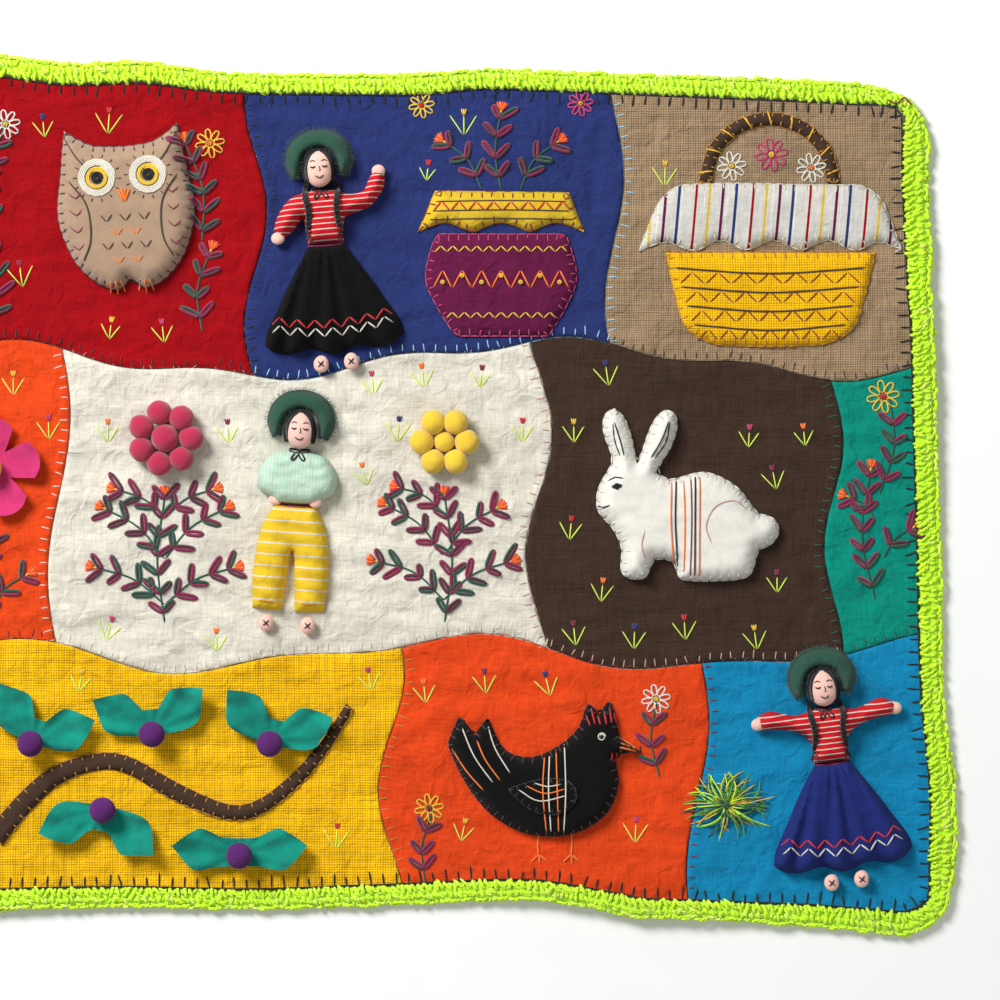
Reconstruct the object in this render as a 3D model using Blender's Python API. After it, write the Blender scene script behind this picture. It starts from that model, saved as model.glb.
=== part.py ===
"""Hand-sewn picture cloth with a crocheted edging, laid flat, face up.

Metres, +Z up. The underside lies on z = 0, the top of the picture is towards +Y,
and the origin is under the middle of the whole piece.
All tables below are in millimetres and degrees.
"""
from math import ceil, cos, pi, radians, sin

import bmesh
import bpy
import numpy as np
from mathutils import Vector
from mathutils.geometry import delaunay_2d_cdt

MM = 0.001
GAP = 0.3                # between pieces that lie next to or on each other
GROUND_THICK = 2.0       # ground cloth with its turned-in hem
FIELD_THICK = 1.2        # one sewn-on field of cloth
FIELD_GAP = 0.45         # under a field, a little more than GAP because the cloth curves
SEAM_GAP = 0.6           # between two fields
FOLD_MAX = 1.4           # highest the folds rise on a field
FIELD_BOTTOM = GROUND_THICK + FIELD_GAP
FIELD_TOP = FIELD_BOTTOM + FIELD_THICK
MOTIF_LEVEL = FIELD_TOP + FOLD_MAX + GAP
FELT = 1.4               # felt thickness
FLAT_ANGLE = 0.001       # radians, faces closer than this count as one flat
SHARP_TURN = 50.0        # degrees, edges that turn more stay sharp

EDGE_STEP = 15.0         # spacing of the sections along the edging
CLOTH_STEP = 22.0        # spacing of points on the ground cloth and the fields
SEAM_STEP = 13.0
SEAM_OVERRUN = 28.0      # upright seams are drawn this far past the mean line of the next one
FOLD_STEP = 13.0
MIN_SPACE = 6.0          # no loose point is closer than this to a seam or an edge
PATCH_STEP = 12.0
MOTIF_STEP = 7.5
SMALL_STEP = 6.4

# Outer line of the edging, clockwise from the top left: x, y, width of the crochet.
EDGE = (
    (-331.5, 190.0, 13.0), (-329.0, 212.0, 13.0), (-316.0, 227.0, 12.0), (-292.0, 231.5, 10.5),
    (-230.0, 229.0, 10.5), (-174.0, 232.7, 11.0), (-139.0, 228.6, 11.0), (-97.0, 229.0, 10.5),
    (-58.0, 223.9, 10.0), (6.0, 222.4, 10.0), (52.0, 222.8, 10.5), (81.0, 224.7, 9.5),
    (145.0, 223.1, 10.0), (224.0, 220.5, 10.5), (282.0, 217.0, 10.0), (308.0, 208.8, 6.0),
    (317.0, 195.0, 13.0), (318.3, 155.0, 13.0), (319.9, 130.0, 13.5), (318.9, 108.0, 11.5),
    (320.8, 92.0, 12.0), (322.5, 32.0, 12.0), (325.2, -34.0, 12.5), (326.0, -104.0, 11.5),
    (331.6, -153.0, 12.5), (332.4, -195.0, 13.5), (325.0, -222.0, 9.5), (310.0, -232.3, 12.0),
    (261.0, -228.6, 11.0), (191.0, -223.6, 9.0), (165.0, -223.6, 10.0), (143.0, -218.8, 9.5),
    (108.0, -214.0, 10.0), (37.0, -216.9, 10.5), (-39.0, -219.0, 10.0), (-100.0, -217.8, 10.0),
    (-157.0, -218.9, 10.5), (-230.0, -222.0, 10.5), (-298.0, -219.5, 11.0), (-321.0, -213.0, 12.0),
    (-330.5, -196.0, 13.0), (-328.0, -120.0, 13.0), (-332.0, -30.0, 12.5), (-328.5, 70.0, 12.5),
)
# Section of the crochet: share of its width from the outer edge, height.
CROCHET_SECTION = ((0.0, 1.7), (0.14, 4.3), (0.42, 5.6), (0.78, 5.0), (1.0, 3.2), (0.96, 0.0), (0.07, 0.0))

# Places where the piece doesn't lie quite flat: x, y, radius, height.
LIFTS = (
    (-250.0, 226.0, 120.0, 3.0),
    (96.0, 232.0, 95.0, 2.4),
    (330.0, 70.0, 110.0, 2.6),
    (156.0, -236.0, 115.0, 3.2),
    (-200.0, -232.0, 110.0, 2.2),
    (-338.0, 20.0, 105.0, 2.4),
)
# Soft folds in the fields: x, y, direction, half length, half width, height.
FOLDS = (
    (-150.0, 160.0, 92.0, 70.0, 13.0, 1.3),
    (86.0, 196.0, 105.0, 30.0, 11.0, 1.2),
    (108.0, 188.0, 78.0, 34.0, 11.0, 1.0),
    (-40.0, -34.0, 4.0, 62.0, 14.0, 1.0),
    (62.0, 48.0, -12.0, 44.0, 15.0, 0.9),
    (-86.0, 42.0, 14.0, 40.0, 14.0, 0.8),
    (205.0, -60.0, -28.0, 52.0, 13.0, 1.0),
    (232.0, 24.0, 20.0, 40.0, 14.0, 0.8),
    (236.0, 180.0, -8.0, 52.0, 14.0, 0.9),
    (-70.0, -190.0, 6.0, 60.0, 14.0, 0.9),
    (190.0, -196.0, 35.0, 34.0, 13.0, 1.1),
    (-236.0, 20.0, 80.0, 70.0, 16.0, 1.0),
    (-262.0, -150.0, 10.0, 52.0, 16.0, 0.9),
    (-250.0, 140.0, 60.0, 50.0, 15.0, 0.9),
)

# Seams right across the piece: mean height, then its waves as size, length, start.
ACROSS = (
    (72.0, ((9.0, 310.0, 40.0), (3.0, 96.0, 10.0))),
    (-84.0, ((8.0, 260.0, 0.0), (3.5, 118.0, 60.0))),
)
# Seams up and down inside each row: mean place, size of the wave, its length.
UPRIGHT = (
    ((-205.0, 4.0, 150.0), (-38.0, 6.0, 120.0), (152.0, 5.0, 135.0)),
    ((-142.0, 6.0, 170.0), (112.0, 7.0, 130.0), (268.0, 5.0, 110.0)),
    ((-186.0, 5.0, 140.0), (34.0, 7.0, 125.0), (196.0, 6.0, 160.0)),
)
# Names and colours of the fields, row by row from the top, each row from the left.
FIELDS = (
    ("field_teal_left", "field_crimson", "field_blue", "field_khaki"),
    ("field_orange_left", "field_cream", "field_brown", "field_teal_right"),
    ("field_pink", "field_gold", "field_orange", "field_turquoise"),
)

COLOURS = {
    "cotton_cream": (0.75, 0.69, 0.62), "cotton_teal": (0.0, 0.26, 0.19),
    "cotton_crimson": (0.38, 0.004, 0.01), "cotton_blue": (0.027, 0.044, 0.21),
    "cotton_khaki": (0.26, 0.20, 0.12), "cotton_orange": (0.87, 0.07, 0.01),
    "cotton_brown": (0.07, 0.035, 0.02), "cotton_pink": (0.58, 0.03, 0.17),
    "cotton_gold": (0.91, 0.48, 0.01), "cotton_turquoise": (0.01, 0.22, 0.43),
    "cotton_purple": (0.20, 0.022, 0.16), "cotton_mustard": (0.66, 0.50, 0.03),
    "crochet_lime": (0.47, 0.87, 0.02), "felt_white": (0.80, 0.79, 0.75),
    "felt_black": (0.008, 0.008, 0.01), "felt_tan": (0.36, 0.25, 0.17),
    "felt_teal": (0.0, 0.27, 0.20), "felt_green": (0.02, 0.06, 0.04),
    "felt_pink": (0.55, 0.03, 0.13), "felt_yellow": (0.83, 0.56, 0.03),
    "yarn_purple": (0.07, 0.008, 0.09), "thread_green": (0.10, 0.40, 0.02),
    "doll_skin": (0.80, 0.47, 0.40), "striped_white": (0.72, 0.70, 0.66),
    "striped_red": (0.55, 0.02, 0.03), "striped_yellow": (0.83, 0.62, 0.07),
    "cotton_mint": (0.42, 0.68, 0.52), "knit_navy": (0.015, 0.025, 0.16),
    "cotton_black": (0.01, 0.01, 0.01),
}

# Outlines of the sewn-on shapes, anticlockwise, 1 marks a corner: x, y, corner.
RABBIT = (
    (-43, 30, 0), (-36, 22, 0), (-30, 10, 0), (-30, -4, 0), (-18, -6, 0), (-13, 4, 0), (-2, 2, 0),
    (0, -6, 0), (26, -7, 0), (38, -4, 0), (42, 9, 0), (49, 12, 0), (53, 19, 0), (50, 26, 0), (42, 28, 0),
    (32, 41, 0), (14, 50, 0), (-5, 46, 0), (-12, 50, 0), (-5, 62, 0), (-1, 74, 0), (-2, 81, 0), (-7, 83, 0),
    (-12, 79, 0), (-17, 68, 0), (-22, 55, 0), (-25, 68, 0), (-29, 79, 0), (-34, 84, 0), (-39, 81, 0),
    (-40, 72, 0), (-35, 56, 0), (-42, 43, 0),
)
HEN = (
    (-52, 44, 1), (-44, 26, 0), (-30, 8, 0), (-10, -3, 0), (14, -3, 0), (32, 8, 0), (38, 24, 0),
    (37, 38, 0), (50, 40, 1), (38, 49, 0), (37, 56, 1), (33, 67, 0), (28, 60, 1), (22, 66, 0),
    (18, 54, 0), (8, 44, 0), (-8, 37, 0), (-22, 41, 0), (-31, 58, 1), (-38, 49, 1), (-46, 59, 1),
)
HEN_WING = ((-20, 21, 1), (-8, 10, 0), (6, 8, 0), (16, 16, 0), (12, 25, 0), (-4, 26, 0))
OWL = (
    (-30, 77, 1), (-33, 56, 0), (-36, 30, 0), (-28, 6, 0), (-16, -6, 0), (-7, -9, 0), (0, -4, 1),
    (7, -9, 0), (16, -6, 0), (28, 6, 0), (36, 30, 0), (33, 56, 0), (30, 77, 1), (16, 68, 0), (-16, 68, 0),
)
BASKET = ((-44, -36, 0), (-30, -44, 0), (30, -44, 0), (44, -36, 0), (56, 4.4, 1), (-55, 4.4, 1))
BASKET_CLOTH = (
    (-69, 5, 1), (-54, 10, 0), (-40, 5, 1), (-26, 11, 0), (-12, 5, 1), (3, 11, 0), (17, 5, 1), (32, 11, 0),
    (45, 5, 1), (58, 10, 0), (70, 5, 1), (58, 34, 0), (48, 40, 1), (-46, 40, 1), (-57, 33, 0),
)
# The handle's arch over the basket: radius of its middle, width, height of its feet.
HANDLE_RADIUS = 34.0
HANDLE_WIDE = 7.0
HANDLE_FOOT_Y = 41.0
POT = ((-24, -40, 1), (25, -40, 1), (40, -10, 0), (34, 14, 1), (-34, 14, 1), (-40, -10, 0))
POT_COLLAR = (
    (-44, 15, 1), (-29, 20, 0), (-15, 15, 1), (0, 20, 0), (15, 15, 1), (30, 20, 0), (44, 15, 1),
    (36, 36, 1), (-35, 37, 1),
)
STAR_POINTS = 5
STAR_REACH = 34.0
# The big felt flower and the leaves: length and width of one petal or leaf.
FLOWER_PETALS = 5
FLOWER_REACH = 27.0
LEAF_LENGTH = 36.0
LEAF_WIDTH = 22.0
LEAF_CURL = 5.5
LEAF_LEVEL = 2.0         # leaves and petals lie over the stem and the field
PETAL_CURL = 4.5

# Doll pieces, seen from the front, head in the middle of (0, 0): x, y, corner.
HEAD_SIZE = (15.0, 19.0, 12.0)
FOOT_SIZE = (8.0, 9.0, 6.0)
FOOT_Y = -102.5
WAIST_Y = 38.0
LOWER_LONG = 58.0
WAIST_HALF = 9.0
HEM_SPREAD = 28.0
PLEATS = 5
PLEAT_RISE = 1.7
SKIRT_THIN = 3.0
TROUSER_THIN = 2.5
# The hat's brim frames the face: its inner edge passes just clear of the head.
HAT = (
    (-9.8, -3.0, 0), (-9.4, 3.0, 0), (-6.4, 9.0, 0), (0.0, 11.4, 0), (6.4, 9.0, 0), (9.4, 3.0, 0),
    (9.8, -3.0, 0), (14.6, -4.4, 0), (18.0, 3.0, 0), (16.6, 12.0, 0), (10.4, 19.0, 0), (0.0, 21.8, 0),
    (-10.4, 19.0, 0), (-16.6, 12.0, 0), (-18.0, 3.0, 0), (-14.6, -4.4, 0),
)
BLOUSE_OUT = (
    (-7, -11, 0), (-16, -13, 0), (-30, -9, 0), (-37, -12, 0), (-36, -18, 0), (-27, -19, 0), (-14, -23, 0),
    (-9, -30, 0), (-9.5, -39, 1), (9.5, -39, 1), (9, -30, 0), (14, -23, 0), (27, -19, 0), (36, -18, 0),
    (37, -12, 0), (30, -9, 0), (16, -13, 0), (7, -11, 0),
)
BLOUSE_IN = (
    (-7, -11, 0), (-15, -14, 0), (-21, -24, 0), (-20, -32, 0), (-12, -37, 0), (-10, -39, 1), (10, -39, 1),
    (12, -37, 0), (20, -32, 0), (21, -24, 0), (15, -14, 0), (7, -11, 0),
)
BLOUSE_WAVE = (
    (-7, -11, 0), (-15, -13, 0), (-22, -19, 0), (-27, -30, 0), (-23, -35, 0), (-17, -31, 0), (-11, -25, 0),
    (-9.5, -39, 1), (9.5, -39, 1), (11, -26, 0), (24, -22, 0), (33, -12, 0), (34, -4, 0), (28, -3, 0),
    (22, -13, 0), (14, -14, 0), (7, -11, 0),
)
SKIRT = (
    (-9, -39.6, 1), (-16, -50, 0), (-27, -69, 0), (-37, -90, 0), (-25, -96, 0), (-12, -94, 0), (0, -98, 0),
    (13, -94, 0), (25, -96, 0), (37, -89, 0), (27, -68, 0), (16, -50, 0), (9, -39.6, 1),
)
TROUSERS = (
    (-11, -39.6, 1), (-17, -52, 0), (-20, -74, 0), (-19, -95, 1), (-3.5, -96, 1), (-1.5, -74, 0),
    (0, -64, 0), (1.5, -74, 0), (3.5, -96, 1), (19, -95, 1), (20, -74, 0), (17, -52, 0), (11, -39.6, 1),
)
# Dolls: name, x, y, turn, blouse outline and cloth, lower garment outline and cloth, feet apart.
DOLLS = (
    ("doll_a", -4.0, 172.0, 5.0, BLOUSE_WAVE, "striped_red", SKIRT, "cotton_black", 8.0),
    ("doll_b", -14.0, 34.0, -4.0, BLOUSE_IN, "cotton_mint", TROUSERS, "striped_yellow", 11.0),
    ("doll_c", 262.0, -102.0, 7.0, BLOUSE_OUT, "striped_red", SKIRT, "knit_navy", 8.0),
)

# Balls of felt or wound yarn, and where they lie.
BALL_WIDE = 13.5
BALL_FLAT = 0.94
CLUSTER_BALL = 13.0
# Ball flowers: name, x, y, cloth, how many round the middle one.
CLUSTERS = (
    ("ball_flower_pink", -86.0, 30.0, "felt_pink", 7),
    ("ball_flower_yellow", 62.0, 28.0, "felt_yellow", 6),
)
# Big felt flowers: name, x, y, turn, petal cloth.
BIG_FLOWERS = (
    ("flower_1", -178.0, 14.0, 12.0, "felt_pink"),
    ("flower_2", -272.0, -22.0, 40.0, "felt_pink"),
)
STAR_AT = (-264.0, 148.0)
RABBIT_AT = (186.0, -38.0)
HEN_AT = (116.0, -176.0)
OWL_AT = (-104.0, 118.0)
BASKET_AT = (234.0, 124.0)
POT_AT = (92.0, 124.0)
TUFT_AT = (211.0, -164.0)
TUFT_SPIKES = 13
TUFT_REACH = 22.0
# The vine: points along its middle with its width there: x, y, width.
VINE = (
    (-176.0, -182.0, 11.0), (-146.0, -150.0, 10.0), (-112.0, -141.0, 9.0), (-78.0, -158.0, 9.0),
    (-44.0, -168.0, 8.0), (-12.0, -146.0, 7.0), (12.0, -112.0, 5.0),
)
# Leaf pairs on the vine: x, y, turn of the first leaf, turn of the second.
LEAVES = (
    (-156.0, -131.0, 118.0, 20.0),
    (-118.0, -166.0, 200.0, 318.0),
    (-92.0, -126.0, 150.0, 42.0),
    (-46.0, -190.0, 172.0, 8.0),
    (-30.0, -131.0, 128.0, 22.0),
)


def hermite(start, end, out_slope, in_slope, t):
    """Point at share t of a smooth piece between two points."""
    return (
        start * (2 * t ** 3 - 3 * t ** 2 + 1)
        + out_slope * (t ** 3 - 2 * t ** 2 + t)
        + end * (3 * t ** 2 - 2 * t ** 3)
        + in_slope * (t ** 3 - t ** 2)
    )


def smooth_loop(rows, step, corners=()):
    """Closed smooth line through the rows, in even pieces of about one step."""
    points = np.array(rows, float)
    count = len(points)
    lengths = np.linalg.norm((np.roll(points, -1, 0) - points)[:, :2], axis=1)
    slopes = np.roll(points, -1, 0) - np.roll(points, 1, 0)
    slopes /= (lengths + np.roll(lengths, 1))[:, None]
    slopes[list(corners)] = 0.0
    line = []
    for i in range(count):
        j = (i + 1) % count
        pieces = ceil(lengths[i] / step - 0.3)
        for k in range(pieces):
            ends = (points[i], points[j], slopes[i] * lengths[i], slopes[j] * lengths[i])
            line.append(hermite(*ends, k / pieces))
    return np.array(line)


def shape(rows, step):
    """Outline of a cut shape from rows of x, y, corner."""
    corners = [i for i, row in enumerate(rows) if row[2]]
    return smooth_loop([row[:2] for row in rows], step, corners)


def moved(points, x, y, turn=0.0):
    """Turn an outline about (0, 0) and shift it."""
    c = cos(radians(turn))
    s = sin(radians(turn))
    return points @ np.array(((c, s), (-s, c))) + (x, y)


def distance_to(outline, points):
    """How far each point is from the outline."""
    best = np.full(len(points), np.inf)
    for a, b in zip(outline, np.roll(outline, -1, 0)):
        along = b - a
        share = np.clip(((points - a) @ along) / max(along @ along, 1e-12), 0.0, 1.0)
        best = np.minimum(best, np.linalg.norm(points - a - share[:, None] * along, axis=1))
    return best


def inside(outline, points):
    """Which points lie inside the outline."""
    found = np.zeros(len(points), bool)
    for a, b in zip(outline, np.roll(outline, -1, 0)):
        if a[1] == b[1]:
            continue
        between = (a[1] > points[:, 1]) != (b[1] > points[:, 1])
        crossing = a[0] + (points[:, 1] - a[1]) / (b[1] - a[1]) * (b[0] - a[0])
        found ^= between & (points[:, 0] < crossing)
    return found


def even_points(outline, step):
    """Points in a three-way grid inside the outline, clear of its line."""
    low = outline.min(0)
    high = outline.max(0)
    rise = step * 0.866
    points = []
    for j in range(int((high[1] - low[1]) / rise) + 1):
        start = low[0] + (step / 2 if j % 2 else 0.0)
        for i in range(int((high[0] - start) / step) + 1):
            points.append((start + i * step, low[1] + (j + 0.5) * rise))
    points = np.array(points)
    keep = inside(outline, points)
    keep &= distance_to(outline, points) > step * 0.5
    return points[keep]


def lift(points):
    """How far the piece stands off the table."""
    height = np.zeros(len(points))
    for x, y, radius, rise in LIFTS:
        away = np.linalg.norm(points - (x, y), axis=1) / radius
        height += rise * np.clip(1.0 - away ** 2, 0.0, 1.0) ** 2
    return height


def folds(points):
    """Height of the soft folds on the fields."""
    height = np.zeros(len(points))
    for x, y, turn, half_length, half_width, rise in FOLDS:
        local = moved(points - (x, y), 0.0, 0.0, -turn)
        away = (local[:, 0] / half_length) ** 2 + (local[:, 1] / half_width) ** 2
        height = np.maximum(height, rise * np.clip(1.0 - away, 0.0, 1.0) ** 2)
    return np.minimum(height, FOLD_MAX)


def fold_points():
    """Points that each fold needs to keep its shape."""
    for x, y, turn, half_length, half_width, _ in FOLDS:
        points = []
        for along in np.linspace(-1.0, 1.0, round(2 * half_length / FOLD_STEP) + 1):
            reach = max(1.0 - along ** 2, 0.0) ** 0.5
            for across in (-1.0, -0.5, 0.0, 0.5, 1.0) if reach else (0.0,):
                points.append((along * half_length, across * reach * half_width))
        yield moved(np.array(points), x, y, turn)


def pillow(away, width):
    """Share of full height at a distance from the sewn edge."""
    share = np.clip(away / width, 0.0, 1.0)
    return np.sqrt(1.0 - (1.0 - share) ** 2)


def material(name):
    """Matt cloth in its own colour."""
    found = bpy.data.materials.get(name)
    if found:
        return found
    made = bpy.data.materials.new(name)
    made.use_nodes = True
    shader = made.node_tree.nodes["Principled BSDF"]
    shader.inputs["Base Color"].default_value = (*COLOURS[name], 1.0)
    shader.inputs["Roughness"].default_value = 0.9
    shader.inputs["Metallic"].default_value = 0.0
    return made


def add_object(name, bm, cloth):
    """Link the finished mesh as one named piece."""
    bmesh.ops.triangulate(bm, faces=bm.faces[:])
    bmesh.ops.recalc_face_normals(bm, faces=bm.faces[:])
    mesh = bpy.data.meshes.new(name)
    bm.to_mesh(mesh)
    bm.free()
    mesh.shade_smooth()
    mesh.set_sharp_from_angle(angle=radians(SHARP_TURN))
    mesh.materials.append(material(cloth))
    piece = bpy.data.objects.new(name, mesh)
    bpy.context.scene.collection.objects.link(piece)
    return piece


def merge_flat_parts(bm, under):
    """Leave the level stretches of the under and upper side as few large faces."""
    upper = {face for face in bm.faces if face not in under and abs(face.normal.z) > 0.3}
    for side in (under, upper):
        flat = [edge for edge in bm.edges if all(face in side for face in edge.link_faces)]
        corners = {vert for edge in flat for vert in edge.verts}
        inner = [vert for vert in corners if all(face in side for face in vert.link_faces)]
        bmesh.ops.dissolve_limit(bm, angle_limit=FLAT_ANGLE, verts=inner, edges=flat)


def solid_from(name, points, triangles, bottom, top, cloth):
    """Closed solid between two heights over a flat net of triangles."""
    bm = bmesh.new()
    verts = [bm.verts.new((*(p * MM), h * MM)) for p, h in zip(points, bottom)]
    for triangle in triangles:
        bm.faces.new([verts[i] for i in triangle])
    tops = {vert: height for vert, height in zip(verts, top)}
    bmesh.ops.recalc_face_normals(bm, faces=bm.faces[:])
    if sum(face.normal.z for face in bm.faces) > 0.0:
        bmesh.ops.reverse_faces(bm, faces=bm.faces[:])
    floor_faces = bm.faces[:]
    places = {(round(v.co.x, 7), round(v.co.y, 7)): tops[v] for v in verts if v.link_faces}
    made = bmesh.ops.extrude_face_region(bm, geom=floor_faces, use_keep_orig=True)
    for vert in (item for item in made["geom"] if isinstance(item, bmesh.types.BMVert)):
        vert.co.z = places[(round(vert.co.x, 7), round(vert.co.y, 7))] * MM
    loose = [vert for vert in bm.verts if not vert.link_faces]
    bmesh.ops.delete(bm, geom=loose, context="VERTS")
    merge_flat_parts(bm, set(floor_faces))
    return add_object(name, bm, cloth)


def net_of(outline, step):
    """Triangles over the inside of an outline."""
    points = np.vstack((outline, even_points(outline, step)))
    vectors = [Vector(p) for p in points]
    ring = list(range(len(outline)))
    corners, _, faces, _, _, _ = delaunay_2d_cdt(vectors, [], [ring], 1, 1e-5)
    return np.array([tuple(corner) for corner in corners]), faces


def padded(name, outline, cloth, rise, rim=FELT, crown=10.0, step=MOTIF_STEP, level=0.0, extra=None):
    """Stuffed cloth shape: thin at its sewn edge, full height past the crown distance."""
    points, triangles = net_of(outline, step)
    bottom = MOTIF_LEVEL + level + lift(points)
    top = bottom + rim + (rise - rim) * pillow(distance_to(outline, points), crown)
    if extra is not None:
        top = top + extra(points)
    return solid_from(name, points, triangles, bottom, top, cloth)


def section_line():
    """Edging points, their directions across the band, and its width there."""
    rows = smooth_loop(EDGE, EDGE_STEP)
    line = rows[:, :2]
    along = np.roll(line, -1, 0) - np.roll(line, 1, 0)
    along /= np.linalg.norm(along, axis=1)[:, None]
    inward = np.stack((along[:, 1], -along[:, 0]), axis=1)
    return line, inward, rows[:, 2]


def make_edging():
    """Crocheted band round the cloth, thicker than the cloth."""
    line, inward, width = section_line()
    bm = bmesh.new()
    rings = []
    for share, height in CROCHET_SECTION:
        points = line + inward * (width * share)[:, None]
        heights = lift(points) + height
        rings.append([bm.verts.new((*(p * MM), h * MM)) for p, h in zip(points, heights)])
    for ring, following in zip(rings, rings[1:] + rings[:1]):
        for i in range(len(ring)):
            j = (i + 1) % len(ring)
            bm.faces.new((ring[i], ring[j], following[j], following[i]))
    add_object("crochet_edging", bm, "crochet_lime")


def cloth_outline():
    """Edge of the ground cloth, just inside the crochet."""
    line, inward, width = section_line()
    return line + inward * (width + GAP + 0.1)[:, None]


def make_ground():
    """Ground cloth that carries the fields, with its hem turned in."""
    points, triangles = net_of(cloth_outline(), CLOTH_STEP)
    bottom = lift(points)
    solid_from("ground_cloth", points, triangles, bottom, bottom + GROUND_THICK, "cotton_cream")


def across_line(mean, waves):
    """Points of a seam from left to right."""
    x = np.arange(-360.0, 361.0, SEAM_STEP)
    y = np.full(len(x), mean)
    for size, length, start in waves:
        y = y + size * np.sin(2 * pi * (x - start) / length)
    return np.stack((x, y), axis=1)


def upright_line(mean, size, length):
    """Points of a seam from bottom to top."""
    y = np.arange(-250.0, 251.0, SEAM_STEP)
    return np.stack((mean + size * np.sin(2 * pi * y / length), y), axis=1)


def field_of(points):
    """Number of the field under each point, or -1 in a seam."""
    across = [across_line(*row) for row in ACROSS]
    half = SEAM_GAP / 2
    row = np.zeros(len(points), int)
    seam = np.zeros(len(points), bool)
    for line in across:
        y = np.interp(points[:, 0], line[:, 0], line[:, 1])
        row += points[:, 1] < y
        seam |= np.abs(points[:, 1] - y) < half
    column = np.zeros(len(points), int)
    for number, seams in enumerate(UPRIGHT):
        here = row == number
        for values in seams:
            line = upright_line(*values)
            x = np.interp(points[:, 1], line[:, 1], line[:, 0])
            column += here & (points[:, 0] > x)
            seam |= here & (np.abs(points[:, 0] - x) < half)
    return np.where(seam, -1, row * len(FIELDS[0]) + column)


def row_limits(number):
    """Lowest and highest that the upright seams of a row need to reach."""
    reach = (250.0, ACROSS[0][0], ACROSS[1][0], -250.0)
    return reach[number + 1] - SEAM_OVERRUN, reach[number] + SEAM_OVERRUN


def make_fields():
    """Fields of coloured cloth, seam to seam, from one shared net."""
    outline = cloth_outline()
    points = list(outline)
    edges = [(i, (i + 1) % len(outline)) for i in range(len(outline))]
    lines = []
    for row in ACROSS:
        line = across_line(*row)
        lines += [line + (0.0, side * SEAM_GAP / 2) for side in (-1, 1)]
    for number, seams in enumerate(UPRIGHT):
        low, high = row_limits(number)
        for values in seams:
            line = upright_line(*values)
            line = line[(line[:, 1] > low) & (line[:, 1] < high)]
            lines += [line + (side * SEAM_GAP / 2, 0.0) for side in (-1, 1)]
    for line in lines:
        start = len(points)
        points += list(line)
        edges += [(start + i, start + i + 1) for i in range(len(line) - 1)]
    spread = np.vstack([even_points(outline, CLOTH_STEP), *fold_points()])
    spread = spread[inside(outline, spread) & (distance_to(outline, spread) > MIN_SPACE)]
    near_seam = np.array([min(np.linalg.norm(line - p, axis=1).min() for line in lines) for p in spread])
    points += list(spread[near_seam > MIN_SPACE])
    vectors = [Vector(p) for p in points]
    corners, _, faces, _, _, _ = delaunay_2d_cdt(vectors, edges, [], 0, 1e-5)
    net = np.array([tuple(corner) for corner in corners])
    middles = np.array([net[list(face)].mean(0) for face in faces])
    number = np.where(inside(outline, middles), field_of(middles), -1)
    bottom = FIELD_BOTTOM + lift(net)
    top = bottom + FIELD_THICK + folds(net)
    for index, name in enumerate(name for row in FIELDS for name in row):
        cloth = "cotton_" + name.split("_")[1]
        chosen = [face for face, owner in zip(faces, number) if owner == index]
        solid_from(name, net, chosen, bottom, top, cloth)


def level_at(x, y):
    """Level that a sewn-on piece lies on, in millimetres."""
    return MOTIF_LEVEL + float(lift(np.array([(x, y)]))[0])


def ball(name, x, y, level, size, cloth):
    """Wound or felted ball, a touch flatter than round, resting at a level."""
    bm = bmesh.new()
    bmesh.ops.create_icosphere(bm, subdivisions=2, radius=size / 2 * MM)
    bmesh.ops.scale(bm, vec=(1.0, 1.0, BALL_FLAT), verts=bm.verts[:])
    z = level + size / 2 * BALL_FLAT
    bmesh.ops.translate(bm, vec=(x * MM, y * MM, z * MM), verts=bm.verts[:])
    return add_object(name, bm, cloth)


def fused(piece, others):
    """Join the others into the piece as one body."""
    for other in others:
        other.hide_render = True
        other.display_type = "WIRE"
        union = piece.modifiers.new("joined", "BOOLEAN")
        union.operation = "UNION"
        union.solver = "EXACT"
        union.object = other


def make_ball_flowers():
    """Felt balls sewn close together round a middle one."""
    for name, x, y, cloth, count in CLUSTERS:
        reach = CLUSTER_BALL * (0.46 / sin(pi / count))
        middle = ball(name, x, y, level_at(x, y), 2 * (reach - CLUSTER_BALL * 0.44), cloth)
        ring = []
        for i in range(count):
            angle = 2 * pi * i / count
            place = (x + reach * cos(angle), y + reach * sin(angle))
            ring.append(ball(f"{name}_joined_{i}", *place, level_at(x, y), CLUSTER_BALL, cloth))
        fused(middle, ring)


def leaf_outline(turns):
    """Felt leaves that share one middle, as the maker cuts them in a pair."""
    rows = []
    ordered = sorted(turns)
    for turn in ordered:
        for along, across in ((0.30, -0.36), (0.62, -0.5), (1.0, 0.0), (0.62, 0.5), (0.30, 0.36)):
            corner = int(across == 0.0)
            point = moved(np.array([(along * LEAF_LENGTH, across * LEAF_WIDTH)]), 0.0, 0.0, turn)[0]
            rows.append((point[0], point[1], corner))
    return shape(rows, MOTIF_STEP)


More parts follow.
